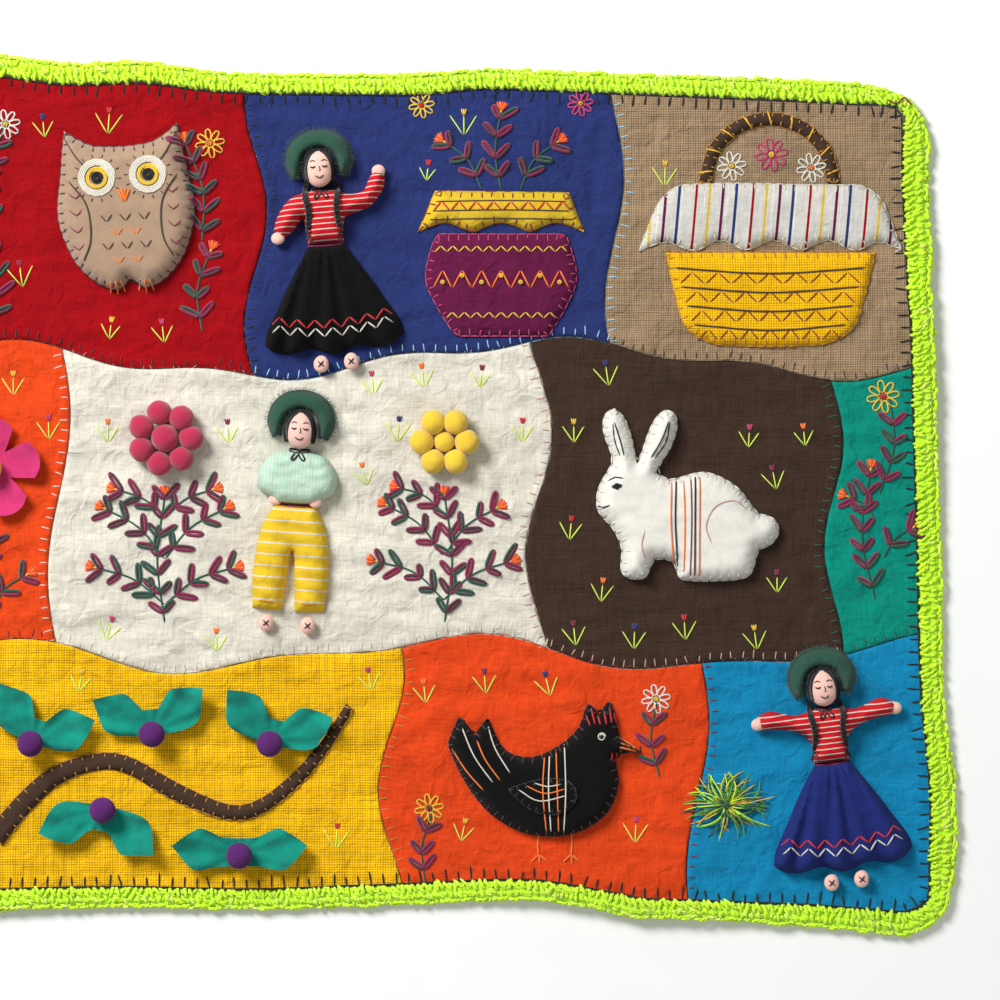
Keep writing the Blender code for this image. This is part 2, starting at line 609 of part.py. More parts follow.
def make_vine():
    """Flat brown stem with loose leaf pairs and a wound ball on each pair."""
    rows = np.array(VINE)
    along = np.gradient(rows[:, :2], axis=0)
    along /= np.linalg.norm(along, axis=1)[:, None]
    side = np.stack((-along[:, 1], along[:, 0]), axis=1) * rows[:, 2:] / 2
    left = [(*p, i in (0, len(rows) - 1)) for i, p in enumerate(rows[:, :2] - side)]
    right = [(*p, i in (0, len(rows) - 1)) for i, p in enumerate(rows[:, :2] + side)]
    padded("vine_stem", shape(left + right[::-1], SEAM_STEP), "cotton_brown", 1.6, rim=1.0, crown=3.0,
           step=SEAM_STEP)
    for i, (x, y, first, second) in enumerate(LEAVES):
        name = f"vine_leaves_{i + 1}"
        points, triangles = net_of(moved(leaf_outline((first, second)), x, y), MOTIF_STEP)
        away = np.linalg.norm(points - (x, y), axis=1) / LEAF_LENGTH
        level = MOTIF_LEVEL + lift(points) + LEAF_LEVEL + LEAF_CURL * away ** 2
        solid_from(name, points, triangles, level, level + FELT, "felt_teal")
        base = level_at(x, y) + LEAF_LEVEL + FELT + 2 * GAP
        ball(f"vine_ball_{i + 1}", x, y, base, BALL_WIDE, "yarn_purple")


def make_animals():
    """Stuffed felt rabbit, hen and owl."""
    padded("rabbit", moved(shape(RABBIT, MOTIF_STEP), *RABBIT_AT), "felt_white", 9.0)
    padded("hen", moved(shape(HEN, MOTIF_STEP), *HEN_AT), "felt_black", 9.0)
    padded("hen_wing", moved(shape(HEN_WING, MOTIF_STEP), *HEN_AT), "felt_black", 2.4, level=9.4)
    padded("owl", moved(shape(OWL, MOTIF_STEP), *OWL_AT, 4.0), "felt_tan", 9.0)


def make_basket_and_pot():
    """Cloth basket with a striped cover, and a pot with a collar."""
    padded("basket", moved(shape(BASKET, SEAM_STEP), *BASKET_AT), "cotton_gold", 2.6, rim=1.2, crown=8.0,
           step=PATCH_STEP)
    padded("basket_cloth", moved(shape(BASKET_CLOTH, PATCH_STEP), *BASKET_AT), "striped_white", 3.2,
           rim=1.3, crown=9.0, step=PATCH_STEP)
    arch = []
    for side in (1, -1):
        radius = HANDLE_RADIUS + side * HANDLE_WIDE / 2
        turns = range(0, 181, 30)[::side]
        arch += [(radius * cos(radians(t)), HANDLE_FOOT_Y + radius * sin(radians(t)), int(t % 180 == 0))
                 for t in turns]
    padded("basket_handle", moved(shape(arch, SEAM_STEP), *BASKET_AT), "cotton_brown", 2.0, rim=1.2,
           crown=3.0, step=SEAM_STEP)
    padded("pot", moved(shape(POT, SEAM_STEP), *POT_AT), "cotton_purple", 2.8, rim=1.2, crown=8.0,
           step=PATCH_STEP)
    padded("pot_collar", moved(shape(POT_COLLAR, PATCH_STEP), *POT_AT), "cotton_mustard", 3.2, rim=1.3,
           crown=8.0, step=PATCH_STEP)


def make_big_flowers():
    """Loose felt petals round a yellow ball."""
    rows = []
    for i in range(FLOWER_PETALS):
        turn = 360.0 * i / FLOWER_PETALS
        for away, spread in ((0.42, -36.0), (0.9, -24.0), (1.0, 0.0), (0.9, 24.0)):
            angle = radians(turn + spread)
            rows.append((FLOWER_REACH * away * cos(angle), FLOWER_REACH * away * sin(angle), 0))
    outline = shape(rows, MOTIF_STEP)
    for name, x, y, turn, cloth in BIG_FLOWERS:
        points, triangles = net_of(moved(outline, x, y, turn), MOTIF_STEP)
        away = np.linalg.norm(points - (x, y), axis=1) / FLOWER_REACH
        level = MOTIF_LEVEL + lift(points) + PETAL_CURL * away ** 2
        solid_from(f"{name}_petals", points, triangles, level, level + FELT, cloth)
        ball(f"{name}_ball", x, y, level_at(x, y) + FELT + 2 * GAP, BALL_WIDE, "felt_yellow")


def make_star():
    """Stuffed felt star."""
    rows = []
    for i in range(2 * STAR_POINTS):
        reach = STAR_REACH * (1.0 if i % 2 else 0.48)
        angle = pi * (i + 0.5) / STAR_POINTS
        rows.append((reach * cos(angle), reach * sin(angle), i % 2))
    padded("star", moved(shape(rows, SEAM_STEP), *STAR_AT), "felt_yellow", 7.0)


def make_tuft():
    """Cut threads spread from a knot, as one spiky pad."""
    rows = []
    for i in range(2 * TUFT_SPIKES):
        reach = (TUFT_REACH + 4.0 * sin(2.4 * i)) if i % 2 else TUFT_REACH * 0.45
        angle = pi * i / TUFT_SPIKES
        rows.append((reach * cos(angle), reach * 0.8 * sin(angle), i % 2))
    padded("thread_tuft", moved(shape(rows, SEAM_STEP), *TUFT_AT), "thread_green", 6.0, rim=1.0,
           crown=11.0)


def oval(name, x, y, size, cloth):
    """Stuffed oval piece lying on its back."""
    bm = bmesh.new()
    bmesh.ops.create_uvsphere(bm, u_segments=12, v_segments=8, radius=0.5)
    bmesh.ops.scale(bm, vec=Vector(size) * MM, verts=bm.verts[:])
    z = level_at(x, y) + size[2] / 2
    bmesh.ops.translate(bm, vec=(x * MM, y * MM, z * MM), verts=bm.verts[:])
    return add_object(name, bm, cloth)


def make_lower_garment(name, rows, cloth, x, y, turn):
    """Gathered skirt with pleats that widen downwards, or trousers that thin downwards."""

    def fall(points):
        local = moved(points - (x, y), 0.0, 0.0, -turn)
        down = np.clip((-local[:, 1] - WAIST_Y) / LOWER_LONG, 0.0, 1.0)
        if rows is not SKIRT:
            return -TROUSER_THIN * down
        across = local[:, 0] / (WAIST_HALF + HEM_SPREAD * down)
        return down * (PLEAT_RISE * np.cos(across * PLEATS * pi) - SKIRT_THIN)

    padded(name, moved(shape(rows, MOTIF_STEP), x, y, turn), cloth, 9.5, rim=4.0, crown=8.0,
           step=SMALL_STEP, extra=fall)


def make_dolls():
    """Cloth dolls, each with a hat, head, blouse, lower garment and feet."""
    for name, x, y, turn, blouse, blouse_cloth, lower, lower_cloth, apart in DOLLS:
        oval(f"{name}_head", x, y, HEAD_SIZE, "doll_skin")
        padded(f"{name}_hat", moved(shape(HAT, SMALL_STEP), x, y, turn), "felt_green", 9.0, crown=8.0,
               step=SMALL_STEP)
        padded(f"{name}_blouse", moved(shape(blouse, SMALL_STEP), x, y, turn), blouse_cloth, 10.0,
               rim=2.0, crown=8.0, step=SMALL_STEP)
        make_lower_garment(f"{name}_lower", lower, lower_cloth, x, y, turn)
        for side, label in ((-1, "left"), (1, "right")):
            foot = moved(np.array([(side * apart, FOOT_Y)]), x, y, turn)[0]
            oval(f"{name}_foot_{label}", *foot, FOOT_SIZE, "doll_skin")


def clear_scene():
    """Start from an empty scene."""
    for old in list(bpy.data.objects):
        bpy.data.objects.remove(old)


def main():
    clear_scene()
    make_edging()
    make_ground()
    make_fields()
    make_vine()
    make_ball_flowers()
    make_animals()
    make_basket_and_pot()
    make_big_flowers()
    make_star()
    make_tuft()
    make_dolls()


if __name__ == "__main__":
    main()
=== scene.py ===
"""Looks of a hand-sewn picture cloth with a crocheted edging, laid flat, face up.

Run as a script in Blender 4.5. Tables and functions work in millimetres and degrees.
The panel's properties and the finished meshes are in metres.
"""
from math import atan, atan2, ceil, cos, degrees, hypot, pi, radians, sin, tau

import bmesh
import bpy
import numpy as np
from bpy.props import FloatProperty, FloatVectorProperty, PointerProperty
from mathutils import Color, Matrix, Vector, noise
from mathutils.bvhtree import BVHTree
from mathutils.geometry import delaunay_2d_cdt


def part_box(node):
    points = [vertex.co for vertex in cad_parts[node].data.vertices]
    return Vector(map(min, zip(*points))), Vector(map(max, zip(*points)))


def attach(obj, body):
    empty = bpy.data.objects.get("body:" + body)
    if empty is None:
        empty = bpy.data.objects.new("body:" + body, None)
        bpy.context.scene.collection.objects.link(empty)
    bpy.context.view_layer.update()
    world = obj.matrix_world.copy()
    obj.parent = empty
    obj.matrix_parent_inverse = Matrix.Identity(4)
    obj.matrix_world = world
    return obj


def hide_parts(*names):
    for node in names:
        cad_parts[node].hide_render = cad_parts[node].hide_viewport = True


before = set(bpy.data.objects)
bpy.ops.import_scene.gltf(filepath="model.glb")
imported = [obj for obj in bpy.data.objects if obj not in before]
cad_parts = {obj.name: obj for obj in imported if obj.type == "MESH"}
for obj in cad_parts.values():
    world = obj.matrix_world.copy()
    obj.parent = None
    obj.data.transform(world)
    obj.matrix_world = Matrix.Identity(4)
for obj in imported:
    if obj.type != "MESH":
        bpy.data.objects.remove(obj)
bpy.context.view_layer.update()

bl_info = {
    "name": "Sewn picture cloth",
    "version": (1, 0, 0),
    "blender": (4, 5, 0),
    "location": "3D View > Sidebar > Picture cloth",
    "description": "Dresses the solids of a hand-sewn picture cloth in woven cloth, felt and yarn",
    "category": "Object",
}

BODY = "root"
BACKING = "ground_cloth"
MM = 0.001
SEED = 11

# Levels of the layers in the frame.
GROUND_THICK = 2.0
FIELD_BOTTOM = 2.45
FIELD_TOP = 3.65
MOTIF_LEVEL = 5.35
REST = 0.08              # a sewn-on piece lies this little above the cloth under it
SOFT_MAX = 1.5           # folds and wrinkles stay below what is sewn on

# The picture's place in the photograph's frame.
VIEW_MIDDLE = (91.4, -2.65)
VIEW_WIDE = 530.0

# Places where the piece doesn't lie quite flat: x, y, radius, height.
LIFTS = (
    (-250, 226, 120, 3),
    (96, 232, 95, 2.4),
    (330, 70, 110, 2.6),
    (156, -236, 115, 3.2),
    (-200, -232, 110, 2.2),
    (-338, 20, 105, 2.4),
)
# Soft folds and sharper creases in the fields: x, y, direction, half length, half width, height.
FOLDS = (
    (-118, -16, 3, 30, 5, 1.4), (-36, -54, 8, 52, 5.5, -1.3), (26, 34, -9, 44, 5, 1.4),
    (94, 6, 72, 44, 5, -1.3), (-100, 52, 12, 36, 5, -1.4), (-122, -62, 24, 32, 5, 1.3),
    (36, -66, -6, 44, 5, 1.3), (-24, 12, 5, 30, 5, -1.2), (-26, 150, 76, 52, 6, -1.4),
    (44, 98, 10, 36, 5.5, 1.3), (142, 170, 82, 42, 5.5, -1.3), (30, 214, 4, 44, 5, 1.3),
    (-176, 112, 22, 44, 5.5, 1.4), (-56, 170, 80, 50, 5.5, -1.4), (-120, 210, 6, 40, 5.5, 1.3),
    (172, 190, 72, 40, 5.5, -1.3), (190, 92, 14, 44, 5.5, 1.3), (290, 100, 60, 34, 5.5, -1.3),
    (132, 30, 80, 42, 6, 1.3), (250, -64, 64, 30, 6, -1.3), (160, -72, 9, 44, 5.5, 1.3),
    (-160, -150, 16, 44, 5.5, -1.4), (-20, -190, 70, 36, 5.5, 1.3), (-96, -216, 5, 46, 5.5, -1.3),
    (54, -116, 40, 36, 5.5, 1.3), (140, -216, 9, 44, 5.5, -1.3), (180, -120, 80, 28, 5, 1.3),
    (214, -120, 14, 34, 5.5, -1.3), (226, -212, 60, 30, 5.5, 1.3), (280, -30, 70, 40, 5.5, 1.3),
    (-300, 26, 80, 42, 5.5, 1.3), (-190, -116, 20, 34, 5.5, -1.3), (-300, -130, 70, 42, 5.5, 1.3),
    (-290, 190, 30, 44, 5.5, -1.3), (-180, -30, 64, 40, 5.5, 1.3), (-220, 60, 10, 36, 5.5, -1.3),
    (-150, 160, 92, 70, 13, 1.3), (86, 196, 105, 30, 11, 1.2), (108, 188, 78, 34, 11, 1),
    (-40, -34, 4, 62, 14, 1), (62, 48, -12, 44, 15, 0.9), (-86, 42, 14, 40, 14, 0.8),
    (205, -60, -28, 52, 13, 1), (232, 24, 20, 40, 14, 0.8), (236, 180, -8, 52, 14, 0.9),
    (-70, -190, 6, 60, 14, 0.9), (190, -196, 35, 34, 13, 1.1), (-236, 20, 80, 70, 16, 1),
    (-262, -150, 10, 52, 16, 0.9), (-250, 140, 60, 50, 15, 0.9),
)
# Seams right across the piece: mean height, then its waves as size, length, start.
ACROSS = (
    (72.0, ((9.0, 310.0, 40.0), (3.0, 96.0, 10.0))),
    (-84.0, ((8.0, 260.0, 0.0), (3.5, 118.0, 60.0))),
)
# Seams up and down inside each row: mean place, size of the wave, its length.
UPRIGHT = (
    ((-205.0, 4.0, 150.0), (-38.0, 6.0, 120.0), (152.0, 5.0, 135.0)),
    ((-142.0, 6.0, 170.0), (112.0, 7.0, 130.0), (268.0, 5.0, 110.0)),
    ((-186.0, 5.0, 140.0), (34.0, 7.0, 125.0), (196.0, 6.0, 160.0)),
)
ROW_REACH = (250.0, 72.0, -84.0, -250.0)
ROW_SPARE = 28.0         # upright seams are first drawn this far past their row
PAST_EDGE = 360.0        # seams right across are first drawn out to here
SEAM_HALF = 0.3          # half of the gap between two fields
# Fields row by row from the top, each row from the left: node, cloth, pitch of its threads,
# height of its wrinkles, stitching along its edges.
FIELDS = (
    ("field_teal_left", "teal", 0.45, 1.3, "dark_green"),
    ("field_crimson", "crimson", 0.45, 1.2, "black"),
    ("field_blue", "blue", 0.45, 1.3, "pale_blue"),
    ("field_khaki", "khaki", 1.3, 1.3, "brown"),
    ("field_orange_left", "orange", 0.45, 1.4, "dark_red"),
    ("field_cream", "cream", 0.45, 2.4, "cream"),
    ("field_brown", "brown", 0.7, 1.3, "pinkish_tan"),
    ("field_teal_right", "teal", 0.45, 1.3, "dark_green"),
    ("field_pink", "pink", 0.45, 1.4, "cream"),
    ("field_gold", "gold", 1.35, 1.4, "ochre"),
    ("field_orange", "orange", 0.45, 1.4, "dark_red"),
    ("field_turquoise", "turquoise", 0.45, 1.4, "pale_blue"),
)

# Display colours of cloths, felts, yarns and threads.
COLOURS = {
    "cream": (0.86, 0.84, 0.78),
    "teal": (0.0, 0.54, 0.47),
    "crimson": (0.60, 0.0, 0.04),
    "blue": (0.15, 0.20, 0.42),
    "khaki": (0.63, 0.53, 0.41),
    "orange": (0.87, 0.27, 0.08),
    "brown": (0.26, 0.19, 0.15),
    "pink": (0.78, 0.19, 0.42),
    "gold": (0.97, 0.74, 0.06),
    "turquoise": (0.05, 0.52, 0.70),
    "purple": (0.37, 0.08, 0.24),
    "mustard": (0.83, 0.70, 0.17),
    "black": (0.025, 0.025, 0.03),
    "mint": (0.69, 0.85, 0.76),
    "white": (0.88, 0.87, 0.83),
    "red": (0.80, 0.10, 0.14),
    "yellow": (0.90, 0.75, 0.17),
    "navy": (0.12, 0.17, 0.44),
    "lime": (0.82, 1.0, 0.12),
    # darker lime of the crochet core: painted shade where it shows between the stitches
    "lime_core_painted_shade": (0.76, 0.95, 0.08),
    # pale lime: real thread of the small flowers' stalks, and painted highlights on some crochet strokes
    "pale_lime_and_highlight": (0.85, 0.96, 0.34),
    "tan": (0.63, 0.52, 0.42),
    "felt_green": (0.15, 0.30, 0.24),
    "yarn_purple": (0.34, 0.12, 0.40),
    "leaf_green": (0.36, 0.66, 0.16),
    "skin": (0.93, 0.74, 0.68),
    "dark_green": (0.03, 0.33, 0.25),
    "dark_red": (0.48, 0.05, 0.07),
    "maroon": (0.52, 0.08, 0.27),
    "wine": (0.34, 0.13, 0.20),
    "pinkish_tan": (0.80, 0.62, 0.55),
    "pale_blue": (0.60, 0.82, 0.93),
    "ochre": (0.76, 0.52, 0.10),
    "bright_orange": (0.98, 0.48, 0.10),
    "rose": (0.68, 0.11, 0.27),
    "cover": (0.80, 0.79, 0.76),
}

# Dolls: start of the nodes' names, turn, blouse cloth, cloth of the skirt or trousers, both hands.
DOLLS = (
    ("doll_a", 5, "red", "black", ((-25, -34.5), (31, -3.5))),
    ("doll_b", -4, "mint", "yellow", ((-10.5, -37), (10.5, -37))),
    ("doll_c", 7, "red", "navy", ((-36.5, -15), (36.5, -15))),
)

# Where the (0, 0) of each motif's stitches lies, and the owl's turn.
RABBIT_AT = (186, -38)
RABBIT_EYE = (153, 4.6)
HEN_AT = (116, -176)
OWL_AT = (-104, 118)
OWL_TURN = 4.0
STAR_AT = (-264, 148)
BASKET_AT = (234, 124)
POT_AT = (92, 124)
TUFT_AT = (211, -164)

# Blanket stitches round each sewn-on shape: colour, pitch, leg, thread radius.
AROUND = {
    "rabbit": ("white", 5.2, 3.8, 0.46),
    "hen": ("black", 5, 3.8, 0.46),
    "hen_wing": ("black", 4.6, 3, 0.42),
    "owl": ("brown", 5.2, 3.8, 0.42),
    "star": ("yellow", 5, 3.6, 0.44),
    "basket": ("ochre", 5.5, 4.4, 0.36),
    "basket_cloth": ("cream", 5.5, 4.2, 0.36),
    "basket_handle": ("ochre", 5, 2.8, 0.34),
    "pot": ("pink", 5.2, 4.2, 0.36),
    "pot_collar": ("dark_red", 5.4, 4.2, 0.36),
    "vine_stem": ("ochre", 6, 2.8, 0.34),
}
EDGE_PITCH = 6.6         # black stitches round the whole cloth
EDGE_ZONE = (285.0, 180.0)   # past these distances from the middle, points can feel the edge stitches


def mirrored(rows):
    """The rows, each followed by its copy on the other side of the upright line."""
    both = []
    for colour, radius, points in rows:
        both += [(colour, radius, points), (colour, radius, tuple((-x, y) for x, y in points))]
    return both


def comb_lines():
    """Short red stitches of the hen's comb and wattle, each from its root."""
    rows = (
        ((37, 54), (35, 62)), ((34.6, 54), (33, 64.5)), ((31.6, 54.4), (30.4, 61)),
        ((28.4, 54.6), (27, 59.4)), ((25.6, 54.6), (23.4, 63.4)), ((23, 54), (20.8, 60)),
        ((36.4, 41.4), (37.2, 37), (35, 34.4)), ((34.4, 41), (34.6, 37.6), (33.4, 35.4)),
    )
    return [("red", 0.5, points) for points in rows]


def foot_lines(x, knee):
    """Leg, bent a little to one side, and three toes."""
    rows = [((x, -2), (x + knee, -9), (x, -16))]
    rows += [((x, -14), (x + out, low)) for out, low in ((-4.4, -18.4), (0.6, -19.4), (4.8, -18))]
    return [("bright_orange", 0.45, points) for points in rows]


# Straight and curved stitches on the animals: colour, thread radius, points from the motif's (0, 0).
RABBIT_LINES = (
    ("black", 0.4, ((-31, 58), (-34.2, 67), (-35.2, 77))),
    ("black", 0.4, ((-29, 58), (-31.4, 67), (-34.6, 77))),
    ("black", 0.4, ((-15.4, 57), (-9.4, 67), (-5.6, 77))),
    ("black", 0.4, ((-13.2, 57), (-7, 66), (-5, 77))),
    ("black", 0.45, ((-44, 32.6), (-40, 31.4), (-36, 33))),
    ("black", 0.4, ((-38.6, 44.6), (-34, 47.4), (-28.4, 46.4))),
    ("pinkish_tan", 0.3, ((17, 12), (14, 22), (19, 32), (29, 35), (36, 30))),
    ("pinkish_tan", 0.3, ((-18, 4), (-20, 12), (-18, 20))),
    ("bright_orange", 0.4, ((-4, 46.5), (-4.5, 24), (-3, 1))),
    ("black", 0.45, ((-1.6, 47), (-2.2, 24), (-0.8, 0))),
    ("bright_orange", 0.35, ((2.2, 47.5), (2.8, 24), (2.4, -4.5))),
    ("dark_red", 0.35, ((6, 48.4), (6.4, 24), (5.6, -6))),
    ("black", 0.45, ((8.4, 49), (8.2, 24), (8, -6.3))),
    ("bright_orange", 0.4, ((10.8, 49.4), (10.6, 24), (10.4, -6.5))),
)
HEN_LINES = (
    ("bright_orange", 0.38, ((-1, 39), (-2, 20), (0, -2.6))),
    ("cream", 0.38, ((1.6, 40), (1, 20), (2.4, -2.8))),
    ("bright_orange", 0.38, ((5, 41.5), (5.6, 20), (6.4, -3))),
    ("cream", 0.38, ((9.4, 44.5), (10, 20), (9, -3))),
    ("bright_orange", 0.4, ((-50, 42), (-42, 30), (-33, 20))),
    ("cream", 0.4, ((-45, 54), (-38, 38), (-28, 24))),
    ("bright_orange", 0.4, ((-37, 47), (-32, 36), (-24, 25))),
    ("cream", 0.4, ((-31, 54), (-27, 42), (-19, 29))),
    ("bright_orange", 0.55, ((38, 48), (49, 41))),
    ("bright_orange", 0.55, ((37.8, 45.6), (49.5, 40.6))),
    ("bright_orange", 0.55, ((37.6, 43.2), (49, 40.2))),
    *comb_lines(),
    *foot_lines(-4, -0.6),
    *foot_lines(13, 0.4),
)
WING_LINES = (
    ("cream", 0.36, ((-15, 21), (-4, 15), (11, 18))),
    ("bright_orange", 0.36, ((-11, 23), (-1, 19), (10, 21.4))),
    ("cream", 0.36, ((-7, 24.6), (0, 22.6), (8, 23.8))),
)
# Ear tufts, wing edges, beak and claws.
OWL_LINES = mirrored((
    ("brown", 0.4, ((-30, 73), (-24, 62), (-19, 56))),
    ("brown", 0.45, ((-29, 50), (-20, 36), (-19, 18), (-24, 6))),
    ("bright_orange", 0.6, ((-3.4, 44), (0, 36))),
    ("bright_orange", 0.6, ((-1.2, 44.6), (0, 37))),
    ("bright_orange", 0.5, ((-10, -4), (-11.6, -11))),
    ("bright_orange", 0.5, ((-7.6, -4), (-7.6, -12))),
    ("bright_orange", 0.5, ((-5.2, -4), (-3.6, -10.6))),
))
# Brows, closed eyes, nose and mouth of a plain cloth doll.
FACE_LINES = mirrored((
    ("black", 0.3, ((1.2, 3.4), (3.1, 4.4), (5, 3.4))),
    ("black", 0.42, ((1.5, 1.3), (3.1, 0.5), (4.7, 1.3))),
)) + [
    ("black", 0.26, ((0.2, 1.6), (0.6, -1.2), (-0.6, -1.8))),
    ("black", 0.34, ((-2.5, -3.6), (0, -5), (2.5, -3.6))),
]

# Embroidered stems with leaf pairs and a bud: x, y, direction, length, bend.
SPRIGS = (
    (-86, -68, 90, 68, 4), (-86, -58, 152, 42, -4), (-86, -58, 28, 42, 4),
    (-86, -34, 140, 42, -4), (-86, -34, 40, 42, 4), (-86, -12, 30, 30, 3),
    (-86, -12, 150, 30, -3),
    (62, -68, 90, 68, -4), (62, -56, 150, 42, -5), (61, -56, 30, 42, 4),
    (61, -32, 138, 40, -4), (62, -32, 42, 38, 4), (62, -10, 150, 28, -3),
    (92, 161, 90, 42, 3), (82, 161, 128, 33, -4), (102, 161, 52, 33, 4),
    (-178, -72, 90, 48, 4), (-178, -62, 140, 34, -4), (-177, -60, 44, 26, 3),
    (-270, 6, 96, 52, -5), (-240, -40, 60, 62, 6),
    (290, -56, 92, 70, 6), (292, 0, 84, 52, -5), (294, -34, 46, 24, 3),
    (290, -14, 138, 20, -3),
    (-66, 86, 84, 44, 5), (-66, 134, 100, 54, -5), (-178, 88, 96, 50, -6),
    (-178, 140, 82, 56, 6),
    (52, -206, 84, 40, 4), (176, -150, 92, 42, 4),
    (-296, -206, 84, 78, 6), (-258, -210, 92, 62, -5), (-218, -206, 98, 84, -7),
    (-300, 96, 84, 30, 3), (-226, 96, 96, 28, -3),
)
# Colours of the buds of the small flowers, in turn.
BUDS = ("navy", "red", "yellow", "pink", "bright_orange", "maroon")
# Looped daisies: x, y, reach, colour of the petals, colour of the middle.
DAISIES = (
    (214, 174, 8, "white", "yellow"), (235, 180, 9, "pink", "yellow"),
    (256, 173, 8, "white", "bright_orange"),
    (50, 206, 7, "yellow", "red"), (134, 207, 7, "pink", "yellow"),
    (-62, 186, 8, "yellow", "bright_orange"), (-170, 196, 8, "white", "yellow"),
    (294, 52, 9, "yellow", "red"), (-288, -128, 11, "white", "yellow"),
    (-262, -148, 11, "yellow", "red"), (-230, -122, 11, "white", "bright_orange"),
    (-276, 58, 9, "yellow", "red"), (54, -166, 8, "yellow", "dark_red"),
    (174, -108, 8, "white", "yellow"),
)


def linear(name):
    """Scene-linear colour of a named cloth or thread, as the panel holds it."""
    shown = getattr(bpy.context.scene.picture_colours, name)
    return Color(shown).from_srgb_to_scene_linear()


# Flat outlines

def hermite(start, end, out_slope, in_slope, t):
    """Point at share t of a smooth piece between two points."""
    return (
        start * (2 * t ** 3 - 3 * t ** 2 + 1)
        + out_slope * (t ** 3 - 2 * t ** 2 + t)
        + end * (3 * t ** 2 - 2 * t ** 3)
        + in_slope * (t ** 3 - t ** 2)
    )


def smooth_loop(points, step, corner_turn=52.0):
    """Closed smooth line through the points, its clear corners kept."""
    points = np.asarray(points, float)
    after = np.roll(points, -1, 0) - points
    before = points - np.roll(points, 1, 0)
    lengths = np.linalg.norm(after, axis=1)
    turns = np.arctan2(after[:, 1], after[:, 0]) - np.arctan2(before[:, 1], before[:, 0])
    turns = np.abs((np.degrees(turns) + 180.0) % 360.0 - 180.0)
    slopes = (after + before) / (lengths + np.roll(lengths, 1))[:, None]
    slopes[turns > corner_turn] = 0.0
    line = []
    for i in range(len(points)):
        j = (i + 1) % len(points)
        pieces = max(ceil(lengths[i] / step - 0.3), 1)
        for k in range(pieces):
            ends = (points[i], points[j], slopes[i] * lengths[i], slopes[j] * lengths[i])
            line.append(hermite(*ends, k / pieces))
    return np.array(line)


def smooth_path(points, step):
    """Open smooth line through the points, in even pieces of about one step."""
    points = np.asarray(points, float)
    slopes = np.gradient(points, axis=0)
    line = []
    for i in range(len(points) - 1):
        length = np.linalg.norm(points[i + 1] - points[i])
        pieces = max(round(length / step), 1)
        ends = (points[i], points[i + 1], slopes[i], slopes[i + 1])
        line += [hermite(*ends, k / pieces) for k in range(pieces)]
    line.append(points[-1])
    return np.array(line)


def rim_loops(node):
    """Outlines of a solid's underside in millimetres, anticlockwise, the longest first."""
    bm = bmesh.new()
    bm.from_mesh(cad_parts[node].data)
    bmesh.ops.remove_doubles(bm, verts=bm.verts[:], dist=1e-5)
    follow = {}
    for face in bm.faces:
        if face.normal.z >= -0.5:
            continue
        for loop in face.loops:
            if sum(other.normal.z < -0.5 for other in loop.edge.link_faces) == 1:
                follow[loop.link_loop_next.vert] = loop.vert
    loops = []
    while follow:
        vert, following = follow.popitem()
        ring = [vert]
        while following in follow:
            ring.append(following)
            following = follow.pop(following)
        places = np.array([(v.co.x, v.co.y) for v in ring]) / MM
        start = np.argmin(places @ (1.0, 0.37))
        loops.append(np.roll(places, -start, 0))
    bm.free()
    return sorted(loops, key=lambda ring: -line_length(ring))


def line_length(ring):
    """Length round a closed line."""
    return float(np.linalg.norm(np.roll(ring, -1, 0) - ring, axis=1).sum())


def unit(rows):
    """Directions brought to length 1."""
    return rows / np.maximum(np.linalg.norm(rows, axis=1), 1e-9)[:, None]


def left_of(along):
    """Flat directions a quarter turn to the left."""
    return np.column_stack((-along[:, 1], along[:, 0]))


def run_along(points):
    """Length along an open line up to each of its points."""
    return np.concatenate(((0.0,), np.cumsum(np.linalg.norm(np.diff(points, axis=0), axis=1))))


def points_at(points, run, wanted):
    """Flat points of a line at the wanted lengths along it."""
    return np.column_stack([np.interp(wanted, run, points[:, k]) for k in range(2)])


def outline_of(node, step=2.0):
    """Smooth outline of a piece, from its solid in the frame."""
    return smooth_loop(rim_loops(node)[0], step, 75.0 if node in ("rabbit", "hen", "owl") else 52.0)


def middle_of(node):
    """Middle of a solid's box, in millimetres."""
    low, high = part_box(node)
    return (low + high) / 2 / MM


def moved(points, x, y, turn=0.0):
    """Turn flat points about (0, 0) and shift them."""
    c = cos(radians(turn))
    s = sin(radians(turn))
    return np.asarray(points, float) @ np.array(((c, s), (-s, c))) + (x, y)


def spot(x, y, *at):
    """One point of a motif, moved to the motif's place."""
    return moved(((x, y),), *at)[0]


def nearest_on(outline, points):
    """How far each point is from a closed line, and how far along the line it is nearest."""
    best = np.full(len(points), np.inf)
    along = np.zeros(len(points))
    run = 0.0
    for a, b in zip(outline, np.roll(outline, -1, 0)):
        edge = b - a
        length = np.linalg.norm(edge)
        share = np.clip(((points - a) @ edge) / max(edge @ edge, 1e-12), 0.0, 1.0)
        away = np.linalg.norm(points - a - share[:, None] * edge, axis=1)
        closer = away < best
        best[closer] = away[closer]
        along[closer] = run + share[closer] * length
        run += length
    return best, along


def inside(outline, points):
    """Which points lie inside the outline."""
    found = np.zeros(len(points), bool)
    for a, b in zip(outline, np.roll(outline, -1, 0)):
        if a[1] == b[1]:
            continue
        between = (a[1] > points[:, 1]) != (b[1] > points[:, 1])
        crossing = a[0] + (points[:, 1] - a[1]) / (b[1] - a[1]) * (b[0] - a[0])
        found ^= between & (points[:, 0] < crossing)
    return found


def even_points(outline, step, clear=0.5):
    """Points in a three-way grid inside the outline, clear of its line."""
    low = outline.min(0)
    high = outline.max(0)
    rise = step * 0.866
    rows = np.arange(low[1] + rise / 2, high[1], rise)
    points = []
    for j, y in enumerate(rows):
        x = np.arange(low[0] + (step / 2 if j % 2 else 0.0), high[0], step)
        points.append(np.column_stack((x, np.full(len(x), y))))
    points = np.vstack(points)
    points = points[inside(outline, points)]
    return points[nearest_on(outline, points)[0] > step * clear]


